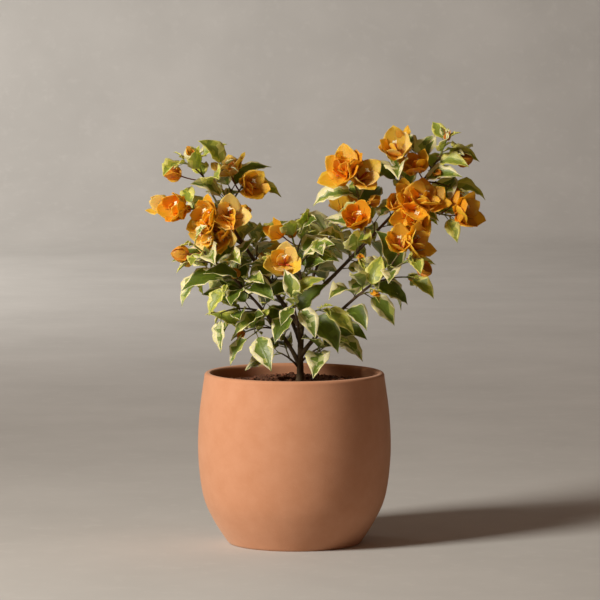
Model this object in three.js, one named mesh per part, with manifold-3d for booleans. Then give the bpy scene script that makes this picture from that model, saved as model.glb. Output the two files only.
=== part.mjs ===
// A bougainvillea bush in a round terracotta planter.
// Millimetres, +Z up. The origin is the middle of the planter's flat underside, and -Y is the front.
// A bearing is an angle in plan, from +X towards +Y, and a climb is an angle above the level.

import * as THREE from "three";
import { mergeVertices } from "three/addons/utils/BufferGeometryUtils.js";
import Module from "manifold-3d";

const wasm = await Module();
wasm.setup();

// ---------------------------------------------------------------- driving dimensions

const CLEAR = 0.3; // between two solids that meet
const LEAF_CLEAR = 0.5; // a leaf or bract nearer than this to another solid is skipped

// Planter: [radius, height] of the outer wall from the foot to the lip.
const POT_OUTLINE = [
  [91, 2],
  [110, 32],
  [123.5, 65],
  [130, 118],
  [128.5, 172],
  [121.5, 225],
];
const POT_HEIGHT = 231;
const POT_WALL = 9.5;
const POT_FLOOR = 14;
const POT_FOOT_EDGE = 2;
const POT_LIP_FLAT = 1; // width of the level band on top of the rim
const FLOOR_ROUNDING = 6; // where the inner wall meets the floor
const POT_STEPS = 9;
const LATHE_SIDES = 32;

// Potting soil: mounded, level round the trunk's foot and lowest along the wall.
const SOIL_TOP = 217;
const SOIL_LEVEL_RADIUS = 26;
const SOIL_SHOULDER = [84, 216];
const SOIL_EDGE = 209;

// Trunk: a slim stem that stands a little right of the middle.
const TRUNK_X = 7.6;
const TRUNK_LENGTH = 113;
const TRUNK_RADIUS = [4.6, 3.3];
const TRUNK_FLARE = 3.6; // how much wider the foot is than the stem above it
const FLARE_POWER = 14; // how soon the flare dies away
const TRUNK_SIDES = 10;
const TRUNK_STEPS = 12;

// Boughs leave the trunk at a height and run bare as far as the foliage that each carries.
const BOUGHS = [
  { name: "left_low", height: 240, length: 30, bearing: [186, 188], climb: [61, 56], radius: [2.9, 2.5] },
  { name: "left_high", height: 290, length: 52, bearing: [170, 171], climb: [52, 55], radius: [3.1, 2.7] },
  { name: "right_low", height: 253, length: 62, bearing: [347, 343], climb: [52, 44], radius: [2.9, 2.4] },
  { name: "right_high", height: 319, length: 54, bearing: [8, 11], climb: [46, 43], radius: [2.9, 2.6] },
  { name: "back_left", height: 268, length: 40, bearing: [128, 132], climb: [58, 53], radius: [2.6, 2.2] },
  { name: "back_right", height: 303, length: 40, bearing: [72, 64], climb: [56, 52], radius: [2.6, 2.2] },
  { name: "front", height: 264, length: 22, bearing: [262, 258], climb: [54, 50], radius: [2.4, 2.1] },
];
const BOUGH_SIDES = 6;
const BOUGH_STEP = 12;

// Leaves: a petiole, then a pointed oval blade.
const LEAF_LENGTH = 57;
const LEAF_WIDEST = [0.4, 0.28]; // share of the blade's length, and half width as a share of it
const LEAF_KEEL = 0.03;
const NECK = 2; // where a petiole or a bract's foot has its full thickness
const PETIOLE = 11;
const PETIOLE_RADIUS = 0.8;
const LEAF_STEP = 15.5; // along a shoot, from one leaf to the next
const LEAF_SHIFT = 0.25; // share of a step by which a leaf may be off its place
const LEAF_ANGLE = 58; // between the shoot and a petiole
const ANGLE_SPREAD = 14;
const LEAF_LIFT = 0.3; // how far petioles turn up towards the light
const FACE_LIFT = 0.5; // how far upper faces turn towards the shoot's tip
const GOLDEN_ANGLE = 137.508;
const TURN_SPREAD = 12;
const YOUNG = 0.6; // how much smaller the leaf at a shoot's tip is
const LARGEST = [1.28, 1.06]; // sizes low on a shoot, before and after the limit
const LEAF_SIZES = [0.78, 1.08];
const SPUR_SHARE = 0.24; // leaves that are replaced by a short twig with three
const SPUR_END = 0.8; // how far up a shoot such twigs grow
const SPUR_LENGTH = [14, 24];
const SPUR_RADIUS = [1.1, 0.8];
const SPUR_LEAVES = [0.7, 0.15]; // share of the twig at its first leaf, and from one to the next
const SPUR_SHRINK = 0.12; // by which each leaf on such a twig is smaller than the last
const LEAF_ROLL = 28;
const LIGHT = { front: 245, back: 90, climb: 35 }; // where leaves turn their upper faces
const LIGHT_SHARE = 0.7; // how much of the way they turn
const LIGHT_LIMIT = 75; // and the most that they do
const LEAF_SAG = [45, 95]; // how far a full grown leaf bends down, in degrees
const STEEPEST = 75; // no leaf hangs steeper than this
const ROOM = 15; // blades keep this far apart, measured between marks down their middles
const WOOD_ROOM = 6; // and this far from wood
const OVER_SOIL = 7;
const OVER_RIM = 22;
const RIM_START = 104; // distance from the middle where the planter's wall begins
const ROOM_SHARES = [0.4, 0.68, 0.96];
const TRIES = 8; // turns that a leaf is given before it is left out
const STRAIGHTEST = 10; // least bend of a leaf

// Bracts: three papery leaves round each small flower.
const BRACT_WIDEST = [0.48, 0.39];
const BRACT_KEEL = 0.035;
const BRACT_SUNK = 0.8; // how far below the stalk's end its bracts start
const BUD_OPEN = 0.25; // a bloom less open than this is a closed bud
const BUD_WIDTH = 0.36; // half width share
const BRACT_SPREAD = [30, 64]; // angle from the stalk, closed and open
const BRACT_BEND = [-75, 8];
const BRACT_TURN = 12;
const BRACT_TILT = 6;
const BRACT_SIZES = [0.92, 1.08];
const STALK_RADIUS = [1, 0.9];
const STALK_BEND = 8; // how far a stalk turns up, either side of its middle

// Foliage: one stem that grows on from a bough's tip or leaves the trunk, and the shoots on it.
// A shoot: on (its parent's index), at (share of the parent), length, bearing and climb at its ends.
// A bloom: on, at, reach, bearing and climb of its stalk, size of a bract, and how far it is open.
const MASSES = [
  {
    name: "foliage_left_low",
    bough: "left_low",
    seed: 21,
    shoots: [
      { length: 178, bearing: [190, 200], climb: [55, 36], radius: [2.4, 1], phase: 20 },
      { on: 0, at: 0.06, length: 50, bearing: [205, 198], climb: [22, -25], radius: [1.5, 0.8], phase: 40 },
      { on: 0, at: 0.22, length: 68, bearing: [212, 196], climb: [26, -20], radius: [1.5, 0.8], phase: 90 },
      { on: 0, at: 0.4, length: 46, bearing: [218, 228], climb: [40, 10], radius: [1.5, 0.8], phase: 250 },
      { on: 0, at: 0.52, length: 56, bearing: [165, 160], climb: [42, 25], radius: [1.5, 0.8], phase: 10 },
      { on: 0, at: 0.76, length: 34, bearing: [190, 185], climb: [15, -5], radius: [1.4, 0.8], phase: 200 },
    ],
    blooms: [
      { on: 0, at: 0.9, reach: 20, bearing: 182, climb: -6, size: 25, open: 0.05 },
      { on: 0, at: 0.5, reach: 14, bearing: 200, climb: 60, size: 16, open: 0.1 },
    ],
  },
  {
    name: "foliage_left_high",
    bough: "left_high",
    seed: 34,
    shoots: [
      { length: 210, bearing: [171, 168], climb: [56, 78], late: 5, radius: [2.6, 1], phase: 105 },
      { on: 0, at: 0.54, length: 56, bearing: [75, 30], climb: [64, 44], radius: [1.6, 0.9], phase: 150 },
      { on: 0, at: 0.61, length: 42, bearing: [198, 188], climb: [10, 0], radius: [1.4, 0.8], phase: 0 },
      { on: 0, at: 0.34, length: 42, bearing: [200, 215], climb: [35, 10], radius: [1.4, 0.8], phase: 75 },
      { on: 0, at: 0.2, length: 40, bearing: [95, 80], climb: [50, 30], radius: [1.4, 0.8], phase: 130 },
      { on: 0, at: 0.86, length: 32, bearing: [195, 188], climb: [52, 24], radius: [1.2, 0.8], phase: 30 },
      { on: 0, at: 0.8, length: 36, bearing: [345, 335], climb: [55, 30], radius: [1.2, 0.8], phase: 220 },
    ],
    blooms: [
      { on: 1, at: 0.84, reach: 24, bearing: 205, climb: 62, size: 37, open: 0.7 },
      { on: 1, at: 0.96, reach: 10, bearing: 300, climb: 6, size: 38, open: 0.55 },
      { on: 1, at: 0.3, reach: 16, bearing: 320, climb: -8, size: 22, open: 0.3 },
      { on: 2, at: 0.97, reach: 14, bearing: 222, climb: 2, size: 38, open: 0.5 },
      { on: 2, at: 0.85, reach: 36, bearing: 178, climb: 4, size: 34, open: 0.4 },
      { on: 0, at: 0.83, reach: 34, bearing: 188, climb: 12, size: 26, open: 0.27 },
      { on: 0, at: 0.4, reach: 24, bearing: 228, climb: 16, size: 40, open: 0.85 },
      { on: 0, at: 0.55, reach: 26, bearing: 222, climb: 4, size: 40, open: 0.9 },
      { on: 0, at: 0.52, reach: 20, bearing: 272, climb: 20, size: 38, open: 0.75 },
      { on: 0, at: 0.47, reach: 34, bearing: 212, climb: -14, size: 38, open: 0.8 },
      { on: 0, at: 0.5, reach: 24, bearing: 240, climb: -24, size: 38, open: 0.85 },
      { on: 0, at: 0.6, reach: 24, bearing: 236, climb: -6, size: 36, open: 0.55 },
      { on: 0, at: 0.96, reach: 14, bearing: 200, climb: 50, size: 14, open: 0.1 },
    ],
  },
  {
    name: "foliage_middle",
    trunkTip: true,
    seed: 55,
    shoots: [
      { length: 82, bearing: [175, 165], climb: [84, 76], radius: [2.4, 1.1], phase: 0 },
      { on: 0, at: 0.35, length: 44, bearing: [205, 195], climb: [46, 22], radius: [1.5, 0.8], phase: 120 },
      { on: 0, at: 0.5, length: 46, bearing: [300, 320], climb: [50, 25], radius: [1.4, 0.8], phase: 40 },
      { on: 0, at: 0.7, length: 44, bearing: [80, 60], climb: [50, 30], radius: [1.4, 0.8], phase: 210 },
    ],
    blooms: [
      { on: 1, at: 0.55, reach: 18, bearing: 262, climb: 12, size: 38, open: 0.75 },
      { on: 0, at: 0.9, reach: 20, bearing: 205, climb: 34, size: 30, open: 0.4 },
    ],
  },
  {
    name: "foliage_right_low",
    bough: "right_low",
    seed: 79,
    shoots: [
      { length: 136, bearing: [343, 338], climb: [44, 30], radius: [2.3, 1], phase: 100 },
      { on: 0, at: 0.22, length: 52, bearing: [310, 300], climb: [35, 0], radius: [1.4, 0.8], phase: 30 },
      { on: 0, at: 0.5, length: 50, bearing: [5, 15], climb: [25, -5], radius: [1.4, 0.8], phase: 160 },
      { on: 0, at: 0.68, length: 44, bearing: [335, 330], climb: [62, 46], radius: [1.4, 0.8], phase: 240 },
    ],
    blooms: [
      { on: 0, at: 0.95, reach: 16, bearing: 330, climb: -30, size: 24, open: 0.05 },
      { on: 3, at: 0.9, reach: 14, bearing: 325, climb: 20, size: 38, open: 0.75 },
      { on: 3, at: 0.7, reach: 16, bearing: 275, climb: 36, size: 34, open: 0.6 },
    ],
  },
  {
    name: "foliage_right_high",
    bough: "right_high",
    seed: 97,
    shoots: [
      { length: 236, bearing: [11, 8], climb: [45, 72], late: 5, radius: [2.5, 1], phase: 140 },
      { on: 0, at: 0.25, length: 92, bearing: [200, 190], climb: [86, 70], radius: [1.6, 0.9], phase: 60 },
      { on: 0, at: 0.56, length: 62, bearing: [190, 160], climb: [86, 80], radius: [1.6, 0.9], phase: 20 },
      { on: 0, at: 0.47, length: 78, bearing: [348, 350], climb: [12, -12], radius: [1.5, 1], phase: 250 },
      { on: 0, at: 0.72, length: 46, bearing: [350, 345], climb: [8, -30], radius: [1.4, 0.8], phase: 130 },
      { on: 0, at: 0.08, length: 44, bearing: [285, 300], climb: [30, 0], radius: [1.4, 0.8], phase: 200 },
      { on: 0, at: 0.86, length: 32, bearing: [352, 345], climb: [45, 15], radius: [1.2, 0.8], phase: 10 },
      { on: 0, at: 0.82, length: 32, bearing: [200, 192], climb: [52, 26], radius: [1.2, 0.8], phase: 240 },
    ],
    blooms: [
      { on: 1, at: 0.95, reach: 14, bearing: 235, climb: 24, size: 42, open: 0.85 },
      { on: 1, at: 0.88, reach: 18, bearing: 290, climb: 22, size: 38, open: 0.75 },
      { on: 1, at: 0.92, reach: 16, bearing: 250, climb: 50, size: 36, open: 0.55 },
      { on: 1, at: 0.25, reach: 16, bearing: 250, climb: 20, size: 38, open: 0.5 },
      { on: 1, at: 0.5, reach: 16, bearing: 320, climb: 26, size: 20, open: 0.3 },
      { on: 2, at: 0.95, reach: 10, bearing: 260, climb: 40, size: 40, open: 0.6 },
      { on: 2, at: 0.95, reach: 16, bearing: 60, climb: 80, size: 34, open: 0.4 },
      { on: 0, at: 0.74, reach: 18, bearing: 240, climb: 40, size: 36, open: 0.6 },
      { on: 0, at: 0.5, reach: 16, bearing: 270, climb: 20, size: 28, open: 0.45 },
      { on: 0, at: 0.58, reach: 14, bearing: 255, climb: 40, size: 24, open: 0.4 },
      { on: 3, at: 0.3, reach: 18, bearing: 285, climb: 30, size: 42, open: 0.85 },
      { on: 3, at: 0.52, reach: 18, bearing: 290, climb: 36, size: 40, open: 0.8 },
      { on: 3, at: 0.42, reach: 18, bearing: 265, climb: -16, size: 38, open: 0.85 },
      { on: 3, at: 0.3, reach: 20, bearing: 275, climb: -52, size: 34, open: 0.7 },
      { on: 3, at: 1, reach: 14, bearing: 320, climb: 8, size: 40, open: 0.6 },
      { on: 3, at: 0.85, reach: 18, bearing: 0, climb: 36, size: 24, open: 0.3 },
      { on: 0, at: 0.9, reach: 24, bearing: 345, climb: -8, size: 24, open: 0.05 },
      { on: 0, at: 0.8, reach: 14, bearing: 300, climb: -10, size: 15, open: 0.05 },
    ],
  },
  {
    name: "foliage_back_left",
    light: LIGHT.back,
    bough: "back_left",
    seed: 113,
    shoots: [
      { length: 128, bearing: [132, 140], climb: [52, 38], radius: [2.1, 1], phase: 70 },
      { on: 0, at: 0.3, length: 50, bearing: [100, 90], climb: [40, 10], radius: [1.4, 0.8], phase: 10 },
      { on: 0, at: 0.5, length: 50, bearing: [175, 180], climb: [30, 5], radius: [1.4, 0.8], phase: 190 },
    ],
    blooms: [
      { on: 0, at: 0.95, reach: 18, bearing: 120, climb: 40, size: 38, open: 0.8 },
      { on: 1, at: 0.9, reach: 18, bearing: 95, climb: 40, size: 36, open: 0.7 },
    ],
  },
  {
    name: "foliage_back_right",
    light: LIGHT.back,
    bough: "back_right",
    seed: 131,
    shoots: [
      { length: 120, bearing: [64, 55], climb: [52, 40], radius: [2.1, 1], phase: 170 },
      { on: 0, at: 0.3, length: 52, bearing: [95, 105], climb: [42, 15], radius: [1.4, 0.8], phase: 110 },
      { on: 0, at: 0.5, length: 50, bearing: [20, 15], climb: [30, 5], radius: [1.4, 0.8], phase: 290 },
    ],
    blooms: [
      { on: 0, at: 0.95, reach: 18, bearing: 70, climb: 45, size: 38, open: 0.8 },
      { on: 1, at: 0.9, reach: 18, bearing: 110, climb: 40, size: 34, open: 0.6 },
    ],
  },
  {
    name: "foliage_front",
    bough: "front",
    seed: 151,
    shoots: [
      { length: 60, bearing: [258, 250], climb: [62, 36], radius: [2, 1], phase: 30 },
      { on: 0, at: 0.15, length: 46, bearing: [330, 312], climb: [44, 14], radius: [1.5, 0.8], phase: 80 },
      { on: 0, at: 0.25, length: 46, bearing: [205, 212], climb: [40, 12], radius: [1.5, 0.8], phase: 200 },
    ],
    blooms: [],
  },
  {
    name: "foliage_foot_left",
    trunkHeight: 234,
    seed: 173,
    shoots: [
      { length: 32, bearing: [200, 192], climb: [50, 20], radius: [1.6, 0.8], phase: 0 },
    ],
    blooms: [],
  },
  {
    name: "foliage_foot_right",
    trunkHeight: 243,
    seed: 191,
    shoots: [
      { length: 48, bearing: [345, 352], climb: [46, 14], radius: [1.6, 0.8], phase: 90 },
    ],
    blooms: [],
  },
];
const TWIG_SIDES = 3;
const TWIG_STEP = 18; // length of one straight stretch of a shoot
const FUSE_TOLERANCE = 0.1;
const MERGE_PLACES = 3; // decimal places of a millimetre at which vertices count as one

const COLOURS = {
  pot: { color: 0xc98a63, roughness: 0.86 },
  soil: { color: 0x2f2219, roughness: 1 },
  wood: { color: 0x4a3524, roughness: 0.85 },
  foliage: { color: 0x7f9052, roughness: 0.6 },
};

// ---------------------------------------------------------------- small helpers

const UP = new THREE.Vector3(0, 0, 1);
const radians = THREE.MathUtils.degToRad;
const degrees = THREE.MathUtils.radToDeg;
const mix = THREE.MathUtils.lerp;

/** Unit vector with a bearing and a climb in degrees. */
function heading(bearing, climb) {
  const [b, c] = [radians(bearing), radians(climb)];
  return new THREE.Vector3(Math.cos(c) * Math.cos(b), Math.cos(c) * Math.sin(b), Math.sin(c));
}

/** The part of v square to the unit vector axis, as a unit vector. */
function squareTo(v, axis) {
  return v.clone().addScaledVector(axis, -v.dot(axis)).normalize();
}

/** Repeatable random numbers (Park and Miller's generator). */
class Random {
  constructor(seed) {
    this.state = seed * 7919;
    for (let i = 0; i < 3; i++) this.next();
  }
  next() {
    this.state = (this.state * 16807) % 2147483647;
    return this.state / 2147483647;
  }
  between(low, high) {
    return mix(low, high, this.next());
  }
}

// ---------------------------------------------------------------- paths and solids

/** A bent line whose bearing and climb turn evenly, or late, from one end to the other. */
class Path {
  static PIECES = 24;
  constructor(start, { length, bearing, climb, late = 1, light }) {
    Object.assign(this, { length, bearing, climb, late, light });
    this.points = [start.clone()];
    for (let i = 0; i < Path.PIECES; i++) {
      const along = this.headingAt((i + 0.5) / Path.PIECES);
      this.points.push(this.points[i].clone().addScaledVector(along, length / Path.PIECES));
    }
  }
  anglesAt(t) {
    const turned = t ** this.late;
    return [mix(...this.bearing, turned), mix(...this.climb, turned)];
  }
  headingAt(t) {
    return heading(...this.anglesAt(t));
  }
  /** Level vector square to the line. */
  sideAt(t) {
    return heading(this.anglesAt(t)[0] + 90, 0);
  }
  pointAt(t) {
    const scaled = Math.min(t * Path.PIECES, Path.PIECES - 1e-9);
    const i = Math.floor(scaled);
    return this.points[i].clone().lerp(this.points[i + 1], scaled - i);
  }
}

/** A closed geometry as a solid that can be joined, cut and measured. */
function solidOf(geometry) {
  const bare = geometry.clone();
  bare.deleteAttribute("normal");
  bare.deleteAttribute("uv");
  const merged = mergeVertices(bare, 1e-4);
  return new wasm.Manifold(
    new wasm.Mesh({
      numProp: 3,
      vertProperties: merged.attributes.position.array,
      triVerts: new Uint32Array(merged.index.array),
    }),
  );
}

/** A solid as a three.js geometry. */
function geometryOf(solid) {
  const { vertProperties, triVerts } = solid.getMesh();
  const geometry = new THREE.BufferGeometry();
  geometry.setAttribute("position", new THREE.BufferAttribute(vertProperties, 3));
  geometry.setIndex(new THREE.BufferAttribute(triVerts, 1));
  geometry.computeVertexNormals();
  return geometry;
}

/** A tapering limb round a path: a capped cylinder whose rings are laid along it. */
function limb(path, radiusAt, sides, steps) {
  const geometry = new THREE.CylinderGeometry(1, 1, 1, sides, steps);
  const { position } = geometry.attributes;
  for (let i = 0; i < position.count; i++) {
    const t = position.getY(i) + 0.5;
    const along = path.headingAt(t);
    const side = path.sideAt(t);
    const point = path.pointAt(t);
    point.addScaledVector(side, position.getX(i) * radiusAt(t));
    point.addScaledVector(side.clone().cross(along), position.getZ(i) * radiusAt(t));
    position.setXYZ(i, point.x, point.y, point.z);
  }
  return solidOf(geometry);
}

/** Where a limb with a given number of sides starts, clear of the side of the trunk that carries it. */
function forkFrom(trunk, height, { bearing, climb, radius }, sides) {
  const t = (height - trunk.points[0].z) / trunk.length;
  const slope = radians(climb[0]);
  const upperEdge = radius[0] * (sides % 2 ? Math.cos(Math.PI / sides) : 1);
  const out = (trunk.radiusAt(t) + CLEAR + upperEdge * Math.sin(slope)) / Math.cos(slope);
  const rise = out * Math.sin(slope);
  const fork = trunk.pointAt(t + rise / trunk.length); // the trunk leans, so the limb starts beside this
  return fork.setZ(height).addScaledVector(heading(bearing[0], climb[0]), out);
}

/** The line down the middle of a blade: an arc, round which the blade may be rolled. */
class Midrib {
  constructor(base, along, face, length, bend) {
    Object.assign(this, { base, along, face, length, bend: radians(bend) || 1e-6, roll: 0 });
  }
  /** Rolls the blade round the arc, so that its upper face turns to the light. */
  turnTo(light) {
    const { along, face } = this.at(this.length / 2);
    const off = Math.atan2(light.dot(along.clone().cross(face)), light.dot(face));
    const most = radians(LIGHT_LIMIT);
    this.roll = THREE.MathUtils.clamp(off * LIGHT_SHARE, -most, most);
    return this;
  }
  /** Point, direction and upper face at a distance from the base. */
  at(distance) {
    const turn = (this.bend * distance) / this.length;
    const reach = this.length / this.bend;
    const point = this.base.clone();
    point.addScaledVector(this.along, reach * Math.sin(turn));
    point.addScaledVector(this.face, -reach * (1 - Math.cos(turn)));
    const along = this.along.clone().multiplyScalar(Math.cos(turn));
    along.addScaledVector(this.face, -Math.sin(turn));
    const face = this.face.clone().multiplyScalar(Math.cos(turn));
    face.addScaledVector(this.along, Math.sin(turn));
    return { point, along, face: face.applyAxisAngle(along, this.roll) };
  }
  /** Points that stand for the blade when leaves are kept apart. */
  get marks() {
    return ROOM_SHARES.map((share) => this.at(share * this.length).point);
  }
}

/** A thin keeled blade: a three-sided sphere whose rings are [distance, half width, keel depth]. */
function blade(midrib, rings) {
  const geometry = new THREE.SphereGeometry(1, 3, rings.length + 1);
  const { position } = geometry.attributes;
  const stations = [[0, 0, 0], ...rings, [midrib.length, 0, 0]];
  for (let i = 0; i < position.count; i++) {
    const [distance, halfWidth, keel] = stations[Math.floor(i / 4)];
    const { point, along, face } = midrib.at(distance);
    const side = along.clone().cross(face);
    const corner = (i % 4) % 3;
    if (corner === 0) point.addScaledVector(face, -keel);
    else point.addScaledVector(side, corner === 1 ? halfWidth : -halfWidth);
    position.setXYZ(i, point.x, point.y, point.z);
  }
  return solidOf(geometry);
}

/** A leaf on its petiole, from the middle of the twig that carries it. */
function leafSolid(midrib) {
  const length = midrib.length - PETIOLE;
  const rings = [NECK, PETIOLE].map((distance) => [distance, PETIOLE_RADIUS, PETIOLE_RADIUS]);
  const [share, half] = LEAF_WIDEST;
  rings.push([PETIOLE + share * length, half * length, LEAF_KEEL * length]);
  return blade(midrib, rings);
}

/** A bract, from the end of its flower stalk. */
function bractSolid(midrib) {
  const { length } = midrib;
  const [share, half] = BRACT_WIDEST;
  const widest = [share * length, half * length, BRACT_KEEL * length];
  return blade(midrib, [[NECK, STALK_RADIUS[1], STALK_RADIUS[1]], widest]);
}

/** A closed bud: a three-sided lantern round the line that its bracts would share. */
function budSolid(path) {
  const geometry = new THREE.SphereGeometry(1, 3, 4);
  const { position } = geometry.attributes;
  const axis = path.headingAt(0);
  const side = path.sideAt(0);
  const over = side.clone().cross(axis);
  for (let i = 0; i < position.count; i++) {
    const point = path.pointAt((1 - position.getY(i)) / 2);
    point.addScaledVector(side, position.getX(i) * BUD_WIDTH * path.length);
    point.addScaledVector(over, position.getZ(i) * BUD_WIDTH * path.length);
    position.setXYZ(i, point.x, point.y, point.z);
  }
  return solidOf(geometry);
}

// ---------------------------------------------------------------- planter and soil

/** Points of the planter's outer wall, from the foot to the lip. */
function potWall() {
  return new THREE.SplineCurve(POT_OUTLINE.map((p) => new THREE.Vector2(...p))).getPoints(POT_STEPS);
}

/** Points of a wall a distance inside the outer one, above the rounding where it meets the floor. */
function innerWall(distance) {
  return potWall()
    .filter((p) => p.y > POT_FLOOR + FLOOR_ROUNDING)
    .map((p) => [p.x - distance, p.y]);
}

function potSolid() {
  const wall = potWall();
  const top = wall.at(-1);
  const inner = innerWall(POT_WALL).reverse();
  const profile = new THREE.Path();
  profile.moveTo(0, 0);
  profile.lineTo(wall[0].x - POT_FOOT_EDGE, 0);
  for (const p of wall) profile.lineTo(p.x, p.y);
  const rounding = (POT_WALL - POT_LIP_FLAT) / 2;
  profile.quadraticCurveTo(top.x, POT_HEIGHT, top.x - rounding, POT_HEIGHT);
  profile.lineTo(top.x - POT_WALL + rounding, POT_HEIGHT);
  profile.quadraticCurveTo(top.x - POT_WALL, POT_HEIGHT, top.x - POT_WALL, top.y);
  for (const [r, z] of inner.slice(1)) profile.lineTo(r, z);
  profile.lineTo(inner.at(-1)[0] - 2 * FLOOR_ROUNDING, POT_FLOOR);
  profile.lineTo(0, POT_FLOOR);
  return solidOf(new THREE.LatheGeometry(profile.getPoints(3), LATHE_SIDES).rotateX(Math.PI / 2));
}

function soilSolid() {
  const wall = innerWall(POT_WALL + 2 * CLEAR).filter(([, z]) => z < SOIL_EDGE);
  const profile = new THREE.Path();
  profile.moveTo(0, POT_FLOOR + CLEAR);
  profile.lineTo(wall[0][0] - 2 * FLOOR_ROUNDING, POT_FLOOR + CLEAR);
  for (const [r, z] of wall) profile.lineTo(r, z);
  profile.lineTo(wall.at(-1)[0] - 1, SOIL_EDGE);
  profile.lineTo(...SOIL_SHOULDER);
  profile.lineTo(SOIL_LEVEL_RADIUS, SOIL_TOP);
  profile.lineTo(0, SOIL_TOP);
  return solidOf(new THREE.LatheGeometry(profile.getPoints(1), LATHE_SIDES).rotateX(Math.PI / 2));
}

// ---------------------------------------------------------------- trunk and boughs

function trunkPath() {
  const foot = new THREE.Vector3(TRUNK_X, 0, SOIL_TOP + CLEAR);
  const trunk = new Path(foot, { length: TRUNK_LENGTH, bearing: [0, 0], climb: [90, 86] });
  trunk.radiusAt = (t) => mix(...TRUNK_RADIUS, t) + TRUNK_FLARE * (1 - t) ** FLARE_POWER;
  return trunk;
}

/** A shoot or bough that tapers evenly along its path. */
function taperedPath(start, spec) {
  const path = new Path(start, spec);
  path.radiusAt = (t) => mix(...spec.radius, t);
  return path;
}

// ---------------------------------------------------------------- foliage

/** A twig of three-sided wood along a path. */
function twigSolid(path) {
  return limb(path, path.radiusAt, TWIG_SIDES, Math.max(1, Math.round(path.length / TWIG_STEP)));
}

/** The stem and shoots of a mass, each a path that starts inside its parent. */
function shootsOf(mass, trunk, boughs) {
  const [stem, ...others] = mass.shoots;
  let start;
  if (mass.bough) start = boughs.get(mass.bough).pointAt(1);
  else if (mass.trunkTip) start = trunk.pointAt(1);
  else start = forkFrom(trunk, mass.trunkHeight, stem, TWIG_SIDES);
  if (!mass.trunkHeight) start.addScaledVector(heading(stem.bearing[0], stem.climb[0]), 2 * CLEAR);
  const light = heading(mass.light ?? LIGHT.front, LIGHT.climb);
  const paths = [taperedPath(start, { ...stem, light })];
  for (const shoot of others) {
    paths.push(taperedPath(paths[shoot.on].pointAt(shoot.at), { ...shoot, light }));
  }
  return paths;
}

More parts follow.
